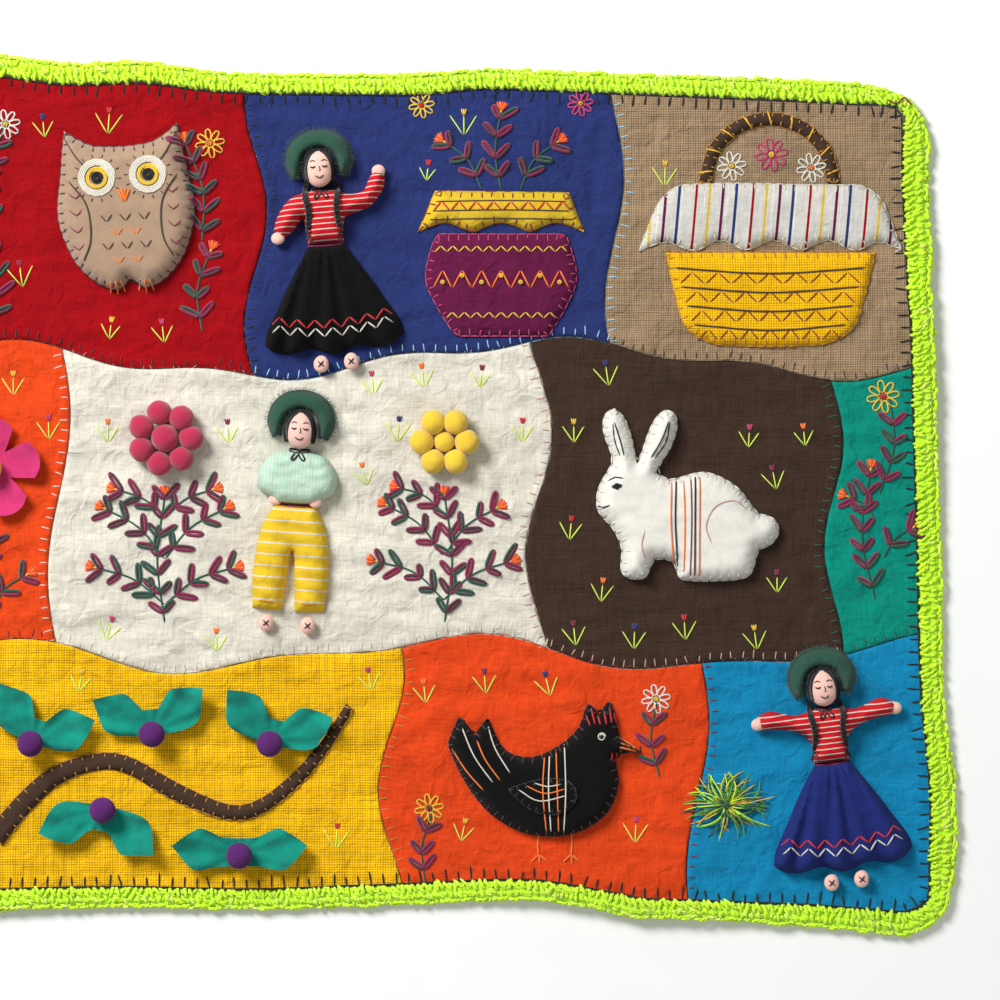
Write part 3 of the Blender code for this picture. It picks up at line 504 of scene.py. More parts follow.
def net_of(outline, step):
    """Triangles over the inside of an outline."""
    points = np.vstack((outline, even_points(outline, step)))
    vectors = [Vector(p) for p in points]
    corners, _, faces, _, _, _ = delaunay_2d_cdt(vectors, [], [list(range(len(outline)))], 1, 1e-5)
    return np.array([tuple(corner) for corner in corners]), np.array([list(face) for face in faces])


# Heights of the sewn face

def lift(points):
    """How far the piece stands off the table."""
    height = np.zeros(len(points))
    for x, y, radius, rise in LIFTS:
        away = np.linalg.norm(points - (x, y), axis=1) / radius
        height += rise * np.clip(1.0 - away ** 2, 0.0, 1.0) ** 2
    return height


def folds(points):
    """Height of the soft folds on the fields."""
    height = np.zeros(len(points))
    for x, y, turn, half_length, half_width, rise in FOLDS:
        local = moved(points - (x, y), 0.0, 0.0, -turn)
        away = (local[:, 0] / half_length) ** 2 + (local[:, 1] / half_width) ** 2
        height += rise * np.clip(1.0 - away, 0.0, 1.0) ** 2
    return height


def seam_y(number, x):
    """Height of a seam right across the piece."""
    mean, waves = ACROSS[number]
    return mean + sum(size * np.sin(tau * (x - start) / length) for size, length, start in waves)


def seam_x(values, y):
    """Place of an upright seam."""
    mean, size, length = values
    return mean + size * np.sin(tau * y / length)


def seams_near(points):
    """For each point: distance to the nearest seam, how far along it, and the number of its field."""
    x = points[:, 0]
    y = points[:, 1]
    gaps = [np.abs(y - seam_y(number, x)) for number in range(len(ACROSS))]
    row = sum((y < seam_y(number, x)).astype(int) for number in range(len(ACROSS)))
    distance = np.minimum(*gaps)
    along = x.copy()
    column = np.zeros(len(points), int)
    for number, seams in enumerate(UPRIGHT):
        here = row == number
        for values in seams:
            place = seam_x(values, y)
            column += here & (x > place)
            closer = here & (np.abs(x - place) < distance)
            distance[closer] = np.abs(x - place)[closer]
            along[closer] = y[closer]
    return distance, along, row * (len(UPRIGHT[0]) + 1) + column


def wrinkles(points):
    """Fine unevenness of sewn cloth, from -1 to 1, mostly in soft creases from left to right."""
    return np.array([
        1.1 * noise.noise(Vector((x / 34.0, y / 10.0, 0.3)))
        + 0.8 * noise.noise(Vector(((x + y) / 11.0, (x - y) / 30.0, 4.2)))
        + 0.4 * noise.noise(Vector((x / 9.0, y / 6.0, 7.1)))
        for x, y in points
    ])


def dents(depth, along, pitch, away, place, width):
    """Dents at the stitches along a line, deepest at a distance from it."""
    return depth * (0.5 + 0.5 * np.cos(tau * along / pitch)) * np.exp(-((away - place) / width) ** 2)


def outer_edge(points):
    """Dents and roll of the hem beside the crochet, at the stitches that hold it."""
    line = outline_of(BACKING, 3.0)
    shape = np.zeros(len(points))
    near = np.flatnonzero((np.abs(points[:, 0]) > EDGE_ZONE[0]) | (np.abs(points[:, 1]) > EDGE_ZONE[1]))
    if len(near):
        away, along = nearest_on(line, points[near])
        length = line_length(line)
        pitch = length / round(length / EDGE_PITCH)
        roll = 0.5 * np.clip(1.0 - ((away - 3.4) / 3.4) ** 2, 0.0, 1.0)
        shape[near] = roll - dents(0.75, along, pitch, away, 3.0, 3.2)
    return shape


def face_height(points):
    """Top of the sewn fields, with their hems, wrinkles and the dents of the stitches."""
    sizes = bpy.context.scene.picture_sizes
    points = np.asarray(points, float)
    distance, along, number = seams_near(points)
    share = np.array([row[3] for row in FIELDS])[number]
    hem = sizes.hem_rise / MM * np.clip(1.0 - ((distance - 2.8) / 2.8) ** 2, 0.0, 1.0)
    edge = 0.75 * np.clip(1.0 - distance / 1.5, 0.0, 1.0) ** 2
    pitch = sizes.stitch_pitch / MM
    pulls = dents(0.6, along, pitch, distance, 2.4, 2.8)
    soft = SOFT_MAX * np.tanh((folds(points) + share * wrinkles(points)) / SOFT_MAX)
    return FIELD_TOP + lift(points) + soft + hem - edge - pulls + outer_edge(points)


def level_at(x, y):
    """Level that a sewn-on piece lies on."""
    return MOTIF_LEVEL + float(lift(np.array([(x, y)]))[0])


# Meshes

LAID = []                # finished pieces that threads can lie on


def deselect_all():
    """Leave nothing selected."""
    if bpy.ops.object.mode_set.poll():
        bpy.ops.object.mode_set(mode="OBJECT")
    bpy.ops.object.select_all(action="DESELECT")


def mesh_object(name, verts, faces, sharp=60.0):
    """Piece from points in millimetres and their faces."""
    mesh = bpy.data.meshes.new(name)
    mesh.from_pydata((np.asarray(verts, float) * MM).tolist(), [], [list(face) for face in faces])
    mesh.shade_smooth()
    if sharp:
        mesh.set_sharp_from_angle(angle=radians(sharp))
    piece = bpy.data.objects.new(name, mesh)
    bpy.context.scene.collection.objects.link(piece)
    return piece


def dress(piece, cloth, nodes=(), laid=True):
    """Give a finished piece its material and its place in the frame."""
    if not len(piece.data.polygons):
        raise RuntimeError(f"{piece.name} has no faces")
    piece.data.materials.clear()
    piece.data.materials.append(cloth)
    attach(piece, BODY)
    if nodes:
        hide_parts(*nodes)
    if laid:
        LAID.append(piece)
    return piece


def closed_sheet(name, points, faces, bottom, top):
    """Closed mesh between two heights over a flat net of triangles."""
    used = np.unique(faces)
    place = np.full(len(points), -1)
    place[used] = np.arange(len(used))
    flat = points[used]
    count = len(used)
    net = place[faces]
    first, second, third = (flat[net[:, k]] for k in range(3))
    turn = np.cross(second - first, third - first)
    net[turn < 0.0] = net[turn < 0.0][:, ::-1]
    edges = {(a, b) for face in net.tolist() for a, b in zip(face, face[1:] + face[:1])}
    walls = [(b, a, a + count, b + count) for a, b in edges if (b, a) not in edges]
    verts = np.vstack((np.column_stack((flat, top[used])), np.column_stack((flat, bottom[used]))))
    return mesh_object(name, verts, net.tolist() + (net[:, ::-1] + count).tolist() + sorted(walls))


CREASES = 0.5            # height of the soft creases in stuffed shapes


def scalloped(outline, node, depth):
    """Outline drawn in at each of its stitches, and the stitches' true pitch."""
    run = run_along(np.vstack((outline, outline[:1])))
    pitch = run[-1] / round(run[-1] / AROUND[node][1])
    ahead = unit(np.roll(outline, -1, 0) - np.roll(outline, 1, 0))
    pull = depth * (0.5 + 0.5 * np.cos(tau * run[:-1] / pitch))
    return outline + left_of(ahead) * pull[:, None], pitch


def pillow(away, width):
    """Share of full height at a distance from the sewn edge."""
    share = np.clip(away / width, 0.0, 1.0)
    return np.sqrt(1.0 - (1.0 - share) ** 2)


def stuffed_heights(points, outline, rise, rim, crown, level=0.0, pucker=0.5, pitch=5.0):
    """Underside and top of a stuffed shape sewn down round its edge."""
    away, along = nearest_on(outline, points)
    ground = face_height(points) if level == 0.0 else MOTIF_LEVEL + lift(points) + level
    share = pillow(away, crown)
    full = MOTIF_LEVEL + lift(points) + level + rise + CREASES * wrinkles(points * 1.5)
    top = (ground + rim) * (1.0 - share) + full * share
    top = top - dents(pucker, along, pitch, away, 2.8, 2.8)
    return ground + REST, np.maximum(top, ground + REST + 0.5)


def stuffed(node, cloth, rise, crown=10.0, level=0.0):
    """Stuffed felt shape in the place of its solid, its edge drawn in at the stitches."""
    outline = outline_of(node, 1.2)
    edge, pitch = scalloped(outline, node, 0.5)
    points, faces = net_of(edge, 1.8)
    bottom, top = stuffed_heights(points, outline, rise, 1.1, crown, level, 1.0, pitch)
    piece = closed_sheet(f"{node}_sewn", points, faces, bottom, top)
    dress(piece, cloth, (node,))


def sewn_shell(node, cloth, rise, crown, rim, step, thick, extra):
    """Gathered cloth that swells off the face: a thin sheet over the space of its solid."""
    outline = outline_of(node)
    points, faces = net_of(outline, step)
    bottom, top = stuffed_heights(points, outline, rise, rim, crown, pucker=0.0)
    top = np.maximum(top + extra(points), bottom + thick)
    piece = closed_sheet(f"{node}_sewn", points, faces, np.maximum(top - thick, bottom), top)
    dress(piece, cloth, (node,))


def surface():
    """Tree of all the finished cloth that threads can lie on."""
    verts = []
    faces = []
    for piece in LAID:
        start = len(verts)
        verts += [v.co for v in piece.data.vertices]
        faces += [[start + i for i in face.vertices] for face in piece.data.polygons]
    return BVHTree.FromPolygons(verts, faces)


class Drape:
    """Finds the height of the finished cloth under a flat point."""

    tree = None
    count = 0

    @classmethod
    def heights(cls, points):
        """Top of the cloth under each point, in millimetres."""
        if cls.count != len(LAID):
            cls.tree = surface()
            cls.count = len(LAID)
        found = []
        for x, y in points:
            hit = cls.tree.ray_cast(Vector((x * MM, y * MM, 0.2)), Vector((0.0, 0.0, -1.0)))[0]
            found.append(FIELD_TOP if hit is None else hit.z / MM)
        return np.array(found)

    @classmethod
    def path(cls, points, off):
        """Flat points laid on the cloth, a little above it."""
        points = np.asarray(points, float)
        return np.column_stack((points, cls.heights(points) + off))


class Threads:
    """Round threads gathered into one mesh, each with its colour and its own length and turn."""

    def __init__(self, sides=5):
        self.sides = sides
        self.verts = []
        self.faces = []
        self.colours = []
        self.places = []
        self.count = 0

    def add(self, path, radius, colour, ends=0.5):
        """One thread along a path in millimetres; its ends are a share of its width."""
        path = np.asarray(path, float)
        along = unit(np.gradient(path, axis=0))
        side = np.cross(along, (0.0, 0.0, 1.0))
        side[np.linalg.norm(side, axis=1) < 0.08] = (1.0, 0.0, 0.0)
        side = unit(side)
        up = np.cross(side, along)
        turns = -tau * np.arange(self.sides) / self.sides
        size = np.full(len(path), 1.0) * radius
        size[[0, -1]] *= ends
        ring = side[:, None, :] * np.cos(turns)[None, :, None]
        ring = ring + up[:, None, :] * np.sin(turns)[None, :, None]
        self.verts.append((path[:, None, :] + ring * size[:, None, None]).reshape(-1, 3))
        run = run_along(path)
        start = self.count
        for i in range(len(path) - 1):
            for k in range(self.sides):
                j = (k + 1) % self.sides
                row = start + i * self.sides
                self.faces.append((row + k, row + j, row + self.sides + j, row + self.sides + k))
                low = k / self.sides
                high = (k + 1) / self.sides
                self.places += [(run[i], low), (run[i], high), (run[i + 1], high), (run[i + 1], low)]
        last = start + (len(path) - 1) * self.sides
        self.faces.append(tuple(start + k for k in reversed(range(self.sides))))
        self.faces.append(tuple(last + k for k in range(self.sides)))
        self.places += [(0.0, 0.5)] * (2 * self.sides)
        self.colours += [(*linear(colour), 1.0)] * (len(path) * self.sides)
        self.count += len(path) * self.sides

    def build(self, name, nodes=(), cloth=None):
        """Make the gathered threads one piece, of plain cotton thread where no other is given."""
        piece = mesh_object(name, np.vstack(self.verts), self.faces, sharp=0.0)
        layer = piece.data.uv_layers.new(name="Length and turn")
        layer.data.foreach_set("uv", np.array(self.places, np.float32).ravel())
        tint = piece.data.color_attributes.new("Tint", "FLOAT_COLOR", "POINT")
        tint.data.foreach_set("color", np.array(self.colours, np.float32).ravel())
        return dress(piece, cloth or threaded(), nodes, laid=False)


# Materials

class Shading:
    """Short ways of placing and joining shader nodes."""

    def __init__(self, tree):
        self.tree = tree

    def node(self, kind, **settings):
        made = self.tree.nodes.new(kind)
        for name, value in settings.items():
            setattr(made, name, value)
        return made

    def feed(self, socket, value):
        """Link a socket, or set its value."""
        if isinstance(value, bpy.types.NodeSocket):
            self.tree.links.new(value, socket)
        elif value is not None:
            socket.default_value = value

    def math(self, operation, first, second=None):
        made = self.node("ShaderNodeMath", operation=operation)
        self.feed(made.inputs[0], first)
        self.feed(made.inputs[1], second)
        return made.outputs[0]

    def mix(self, blend, factor, first, second):
        made = self.node("ShaderNodeMix", data_type="RGBA", blend_type=blend)
        self.feed(made.inputs[0], factor)
        self.feed(made.inputs[6], first)
        self.feed(made.inputs[7], second)
        return made.outputs[2]

    def noise(self, vector, scale, detail=2.0, distortion=0.0):
        made = self.node("ShaderNodeTexNoise")
        self.feed(made.inputs["Vector"], vector)
        self.feed(made.inputs["Scale"], scale)
        self.feed(made.inputs["Detail"], detail)
        self.feed(made.inputs["Distortion"], distortion)
        return made.outputs["Fac"]

    def range(self, value, low, high, new_low, new_high):
        made = self.node("ShaderNodeMapRange")
        for socket, number in zip(made.inputs, (value, low, high, new_low, new_high)):
            self.feed(socket, number)
        return made.outputs[0]

    def group(self, name, **values):
        """Place one of this file's shader groups."""
        made = self.node("ShaderNodeGroup", node_tree=shared_group(name))
        for socket, value in values.items():
            self.feed(made.inputs[socket.replace("_", " ")], value)
        return made.outputs


def shared_group(name):
    """Shader group from the table below, made the first time that it is placed."""
    label, wire, inputs, outputs = GROUPS[name]
    tree = bpy.data.node_groups.get(label)
    if tree:
        return tree
    tree = bpy.data.node_groups.new(label, "ShaderNodeTree")
    for key, value in inputs.items():
        kind = "NodeSocketVector" if value is None else "NodeSocketFloat"
        socket = tree.interface.new_socket(key, in_out="INPUT", socket_type=kind)
        if value is not None:
            socket.default_value = value
    for key in outputs:
        tree.interface.new_socket(key, in_out="OUTPUT", socket_type="NodeSocketFloat")
    s = Shading(tree)
    wire(s, s.node("NodeGroupInput").outputs, s.node("NodeGroupOutput").inputs)
    return tree


def weave_nodes(s, given, made):
    """Plain weave: a square grid of threads, each a little different, with a hollow at each corner."""
    split = s.node("ShaderNodeSeparateXYZ").outputs
    s.feed(split[0].node.inputs[0], given["Vector"])
    drift = [s.math("MULTIPLY", s.math("SUBTRACT", s.noise(given["Vector"], scale), 0.5), 0.9 * MM)
             for scale in (70.0, 83.0)]
    u, v = (s.math("DIVIDE", s.math("ADD", split[k], drift[k]), given["Pitch"]) for k in range(2))

    def thread(across, along, start):
        """Height across one set of threads, and the tone of each along its length."""
        ridge = s.math("ABSOLUTE", s.math("SINE", s.math("MULTIPLY", across, pi)))
        place = s.node("ShaderNodeCombineXYZ")
        bands = s.math("MULTIPLY", across, s.math("DIVIDE", given["Pitch"], 0.8 * MM))
        s.feed(place.inputs[0], s.math("FLOOR", bands))
        s.feed(place.inputs[1], s.math("MULTIPLY", along, 0.045))
        s.feed(place.inputs[2], start)
        return ridge, s.noise(place.outputs[0], 0.83, 1.0)

    warp, warp_tone = thread(u, v, 0.0)
    weft, weft_tone = thread(v, u, 9.5)
    tones = s.math("SUBTRACT", s.math("ADD", warp_tone, weft_tone), 1.0)
    uneven = s.math("MULTIPLY", tones, given["Unevenness"])
    pinhole = s.math("MULTIPLY", s.math("SUBTRACT", 1.0, warp), s.math("SUBTRACT", 1.0, weft))
    hollow = s.math("MULTIPLY", pinhole, given["Contrast"])
    s.feed(made["Height"], s.math("ADD", s.math("MULTIPLY", warp, weft), uneven))
    s.feed(made["Shade"], s.math("ADD", s.math("SUBTRACT", 1.0, hollow), uneven))


def felt_nodes(s, given, made):
    """Matted fibres of felt."""
    fibres = s.noise(given["Vector"], given["Fineness"], 4.0, 2.4)
    lumps = s.noise(given["Vector"], s.math("MULTIPLY", given["Fineness"], 0.22), 3.0, 0.6)
    height = s.math("ADD", s.math("MULTIPLY", fibres, 0.55), s.math("MULTIPLY", lumps, 0.45))
    s.feed(made["Height"], height)
    s.feed(made["Shade"], s.range(height, 0.34, 0.66, 0.88, 1.05))


def yarn_nodes(s, given, made):
    """Plies of a twisted thread, read from its length and turn."""
    split = s.node("ShaderNodeSeparateXYZ").outputs
    s.feed(split[0].node.inputs[0], given["Vector"])
    plies = s.math("MULTIPLY", split[1], given["Plies"])
    turn = s.math("ADD", plies, s.math("DIVIDE", split[0], given["Lay"]))
    ridge = s.math("ABSOLUTE", s.math("SINE", s.math("MULTIPLY", turn, pi)))
    s.feed(made["Height"], ridge)
    s.feed(made["Shade"], s.range(ridge, 0.0, 0.8, 0.80, 1.04))


def dye_and_shade_nodes(s, given, made):
    """Soft patches that make the cloth lighter or darker: partly uneven dye and handling, partly painted
    shade of broad soft folds.
    """
    broad = s.noise(given["Vector"], 22.0, 3.0)
    fine = s.noise(given["Vector"], 160.0, 4.0)
    both = s.math("ADD", s.math("MULTIPLY", broad, 0.6), s.math("MULTIPLY", fine, 0.4))
    swing = s.math("MULTIPLY", s.math("SUBTRACT", both, 0.5), s.math("MULTIPLY", given["Strength"], 4.0))
    s.feed(made["Shade"], s.math("ADD", swing, 1.0))


def bands_nodes(s, given, made):
    """Stripes of a given spacing and width."""
    place = s.math("PINGPONG", given["Distance"], s.math("MULTIPLY", given["Spacing"], 0.5))
    half = s.math("MULTIPLY", given["Width"], 0.5)
    s.feed(made["Mask"], s.math("LESS_THAN", place, half))


# Each group: its label, its wiring, its inputs with their values, its outputs.
GROUPS = {
    "weave": ("Plain weave", weave_nodes,
              {"Vector": None, "Pitch": 0.7 * MM, "Unevenness": 0.3, "Contrast": 0.3}, ("Height", "Shade")),
    "felt": ("Felt fuzz", felt_nodes, {"Vector": None, "Fineness": 900.0}, ("Height", "Shade")),
    "yarn": ("Twisted yarn", yarn_nodes, {"Vector": None, "Lay": 2.0, "Plies": 2.0}, ("Height", "Shade")),
    "dye_and_shade": ("Uneven dye and painted shade", dye_and_shade_nodes, {"Vector": None, "Strength": 0.1}, ("Shade",)),
    "bands": ("Bands", bands_nodes, {"Distance": 0.0, "Spacing": 6.0 * MM, "Width": 1.0 * MM}, ("Mask",)),
}


def start_material(name, roughness, sheen):
    """Matt cloth shader with its fibre sheen, ready for its colour and relief."""
    made = bpy.data.materials.new(name)
    made.use_nodes = True
    s = Shading(made.node_tree)
    shader = made.node_tree.nodes["Principled BSDF"]
    shader.inputs["Roughness"].default_value = roughness
    shader.inputs["Sheen Weight"].default_value = sheen
    shader.inputs["Sheen Roughness"].default_value = 0.6
    shader.inputs["Specular IOR Level"].default_value = 0.15
    return made, s, shader


def finish_material(s, shader, colour, shades, height, depth):
    """Multiply the colour by the shades and raise the surface by the height."""
    for shade in shades:
        spread = s.node("ShaderNodeCombineColor")
        for socket in spread.inputs:
            s.feed(socket, shade)
        colour = s.mix("MULTIPLY", 1.0, colour, spread.outputs[0])
    s.feed(shader.inputs["Base Color"], colour)
    bump = s.node("ShaderNodeBump")
    bump.inputs["Strength"].default_value = 1.0
    bump.inputs["Distance"].default_value = depth
    s.feed(bump.inputs["Height"], height)
    s.feed(shader.inputs["Normal"], bump.outputs[0])


def object_place(s, x=0.0, y=0.0, turn=0.0):
    """Object coordinates, centred on a place and turned with the piece."""
    place = s.node("ShaderNodeTexCoord").outputs["Object"]
    if not (x or y or turn):
        return place
    mapping = s.node("ShaderNodeMapping", vector_type="TEXTURE")
    s.feed(mapping.inputs["Vector"], place)
    mapping.inputs["Location"].default_value = (x * MM, y * MM, 0.0)
    mapping.inputs["Rotation"].default_value = (0.0, 0.0, radians(turn))
    return mapping.outputs[0]


def woven(name, colour, pitch=0.45, uneven=0.2, depth=0.06, stripes=(), place=(0.0, 0.0, 0.0), dye_and_shade=0.09,
          rumple=1.3):
    """Woven cotton, rumpled by that many millimetres, with rows of axis, spacing, width, start, colour."""
    found = bpy.data.materials.get(name)
    if found:
        return found
    made, s, shader = start_material(name, 0.92, 0.02)
    vector = object_place(s, *place)
    contrast = 1.1 if pitch > 1.0 else 0.3
    weave = s.group("weave", Vector=vector, Pitch=pitch * MM, Unevenness=uneven, Contrast=contrast)
    fuzz = s.group("felt", Vector=vector, Fineness=1500.0)
    tone = s.group("dye_and_shade", Vector=vector, Strength=dye_and_shade)
    shown = (*linear(colour), 1.0)
    split = s.node("ShaderNodeSeparateXYZ").outputs
    s.feed(split[0].node.inputs[0], vector)
    for axis, spacing, width, start, other in stripes:
        shifted = s.math("ADD", split["XY".index(axis)], start * MM)
        mask = s.group("bands", Distance=shifted, Spacing=spacing * MM, Width=width * MM)["Mask"]
        shown = s.mix("MIX", mask, shown, (*linear(other), 1.0))
    height = s.math("ADD", weave["Height"], s.math("MULTIPLY", fuzz["Height"], 0.5))
    rumples = s.math("MULTIPLY", s.noise(vector, 105.0, 3.0, 0.9), rumple / depth)
    height = s.math("ADD", height, rumples)
    finish_material(s, shader, shown, (weave["Shade"], tone["Shade"]), height, depth * MM)
    return made


def felted(name, colour, fineness=900.0, depth=0.3, dye_and_shade=0.1, sheen=0.35):
    """Wool felt with matted fibres."""
    found = bpy.data.materials.get(name)
    if found:
        return found
    made, s, shader = start_material(name, 0.95, sheen)
    vector = object_place(s)
    fuzz = s.group("felt", Vector=vector, Fineness=fineness)
    tone = s.group("dye_and_shade", Vector=vector, Strength=dye_and_shade)
    shown = (*linear(colour), 1.0)
    finish_material(s, shader, shown, (fuzz["Shade"], tone["Shade"]), fuzz["Height"], depth * MM)
    return made


def threaded(name="Cotton thread", lay=1.6, plies=2.0, depth=0.12, sheen=0.25):
    """Twisted thread that takes its colour from the Tint on the piece."""
    found = bpy.data.materials.get(name)
    if found:
        return found
    made, s, shader = start_material(name, 0.8, sheen)
    place = s.node("ShaderNodeTexCoord")
    yarn = s.group("yarn", Vector=place.outputs["UV"], Lay=lay, Plies=plies)
    fuzz = s.group("felt", Vector=place.outputs["Object"], Fineness=1400.0)
    tone = s.group("dye_and_shade", Vector=place.outputs["Object"], Strength=0.1)
    tint = s.node("ShaderNodeAttribute", attribute_name="Tint").outputs["Color"]
    height = s.math("ADD", yarn["Height"], s.math("MULTIPLY", fuzz["Height"], 0.5))
    finish_material(s, shader, tint, (yarn["Shade"], fuzz["Shade"], tone["Shade"]), height, depth * MM)
    return made


# Stage

def make_stage():
    """Pale floor, soft lights and the camera straight above."""
    sizes = bpy.context.scene.picture_sizes
    deselect_all()
    bpy.ops.mesh.primitive_plane_add(size=sizes.floor_size)
    floor = bpy.context.active_object
    floor.name = "studio_floor"
    made, s, shader = start_material("Pale floor", 0.9, 0.0)
    speck = s.noise(object_place(s), 40.0, 3.0)
    pale = s.mix("MIX", speck, (0.86, 0.86, 0.86, 1.0), (0.90, 0.90, 0.89, 1.0))
    s.feed(shader.inputs["Base Color"], pale)
    floor.data.materials.append(made)
    world = bpy.data.worlds.new("Studio air")
    world.use_nodes = True
    world.node_tree.nodes["Background"].inputs["Color"].default_value = (1.0, 1.0, 1.0, 1.0)
    world.node_tree.nodes["Background"].inputs["Strength"].default_value = sizes.air_light
    bpy.context.scene.world = world
    lamps = (
        ("key_light", (-1.0, 1.1, 1.4), 0.75, sizes.key_light),
        ("fill_light", (1.3, -0.9, 1.8), 1.4, sizes.fill_light),
    )
    middle = Vector((VIEW_MIDDLE[0] * MM, VIEW_MIDDLE[1] * MM, 0.0))
    for name, place, size, power in lamps:
        bpy.ops.object.light_add(type="AREA", location=place)
        lamp = bpy.context.active_object
        lamp.name = name
        lamp.data.size = size
        lamp.data.energy = power
        lamp.rotation_euler = (middle - Vector(place)).to_track_quat("-Z", "Y").to_euler()
    bpy.ops.object.camera_add(location=(middle.x, middle.y, sizes.camera_height))
    camera = bpy.context.active_object
    camera.name = "camera_above"
    camera.data.sensor_fit = "HORIZONTAL"
    camera.data.angle = 2 * atan(VIEW_WIDE * MM / 2 / sizes.camera_height)
    bpy.context.scene.camera = camera
    bpy.context.scene.view_settings.view_transform = "Standard"


# Ground cloth and fields

def make_ground():
    """Cotton backing with its hem turned in."""
    outline = outline_of(BACKING, 6.0)
    points, faces = net_of(outline, 12.0)
    bottom = lift(points)
    away, _ = nearest_on(outline, points)
    top = bottom + GROUND_THICK - 0.5 * (1.0 - np.clip(away / 3.0, 0.0, 1.0)) ** 2
    piece = closed_sheet("ground_cloth_sewn", points, faces, bottom, top)
    dress(piece, woven("Cream backing", "cream"), (BACKING,))


def field_net(step):
    """One net for all the fields, with the seams and rows of points close beside them."""
    outline = outline_of(BACKING, 4.0)
    points = [outline]
    edges = [(i, (i + 1) % len(outline)) for i in range(len(outline))]
    count = len(outline)
    beside = []
    for number in range(len(ACROSS)):
        x = np.arange(-PAST_EDGE, PAST_EDGE + 1.0, 2.0)
        beside.append((np.column_stack((x, seam_y(number, x))), (0.0, 1.0)))
    for number, seams in enumerate(UPRIGHT):
        y = np.arange(ROW_REACH[number + 1] - ROW_SPARE, ROW_REACH[number] + ROW_SPARE, 2.0)
        beside += [(np.column_stack((seam_x(values, y), y)), (1.0, 0.0)) for values in seams]
    grid = even_points(outline, step)
    loose = [grid[seams_near(grid)[0] > 5.4]]
    for line, across in beside:
        for side in (-1.0, 1.0):
            points.append(line + np.array(across) * side * SEAM_HALF)
            edges += [(count + i, count + i + 1) for i in range(len(line) - 1)]
            count += len(line)
            loose += [line + np.array(across) * side * away for away in (1.3, 2.8, 4.6)]
    spread = np.vstack(loose)
    spread = spread[inside(outline, spread)]
    spread = spread[(nearest_on(outline, spread)[0] > 1.5) & (seams_near(spread)[0] > 1.0)]
    points.append(spread)
    everything = np.vstack(points)
    vectors = [Vector(p) for p in everything]
    corners, _, faces, _, _, _ = delaunay_2d_cdt(vectors, edges, [], 0, 1e-4)
    net = np.array([tuple(corner) for corner in corners])
    faces = np.array([list(face) for face in faces])
    middles = net[faces].mean(1)
    distance, _, number = seams_near(middles)
    owner = np.where(inside(outline, middles) & (distance > SEAM_HALF * 0.98), number, -1)
    return net, faces, owner


def make_fields():
    """Coloured cloth fields, each a thin sheet with its folds, hem and wrinkles."""
    net, faces, owner = field_net(2.7)
    top = face_height(net)
    bottom = FIELD_BOTTOM + lift(net)
    for number, (node, colour, pitch, _, _) in enumerate(FIELDS):
        chosen = faces[owner == number]
        piece = closed_sheet(f"{node}_sewn", net, chosen, bottom, np.maximum(top, bottom + 0.4))
        coarse = pitch > 0.6
        # The fields' stronger uneven tone is partly painted shade of broad soft folds.
        cloth = woven(f"{colour} field", colour, pitch, 0.6 if coarse else 0.36, 0.3 if coarse else 0.1,
                      dye_and_shade=0.15, rumple=2.3)
        dress(piece, cloth, (node,))


# Crocheted edging

OVERHANG = 0.07          # the stitches reach out past the solid by this share of the width
INNER_SHARE = 0.89       # share of the stitches' width that the solid band has


def edging_lines(step):
    """Outer line of the edging in even steps, its direction, inward direction and width."""
    outer, inner = rim_loops("crochet_edging")[:2]
    line = smooth_loop(outer, 1.0, 180.0)
    closed = np.vstack((line, line[:1]))
    run = run_along(closed)
    count = round(run[-1] / step)
    even = points_at(closed, run, np.arange(count) * run[-1] / count)
    along = unit(np.roll(even, -2, 0) - np.roll(even, 2, 0))
    inward = left_of(along)
    width, _ = nearest_on(smooth_loop(inner, 2.0, 180.0), even)
    return even, along, inward, width / INNER_SHARE


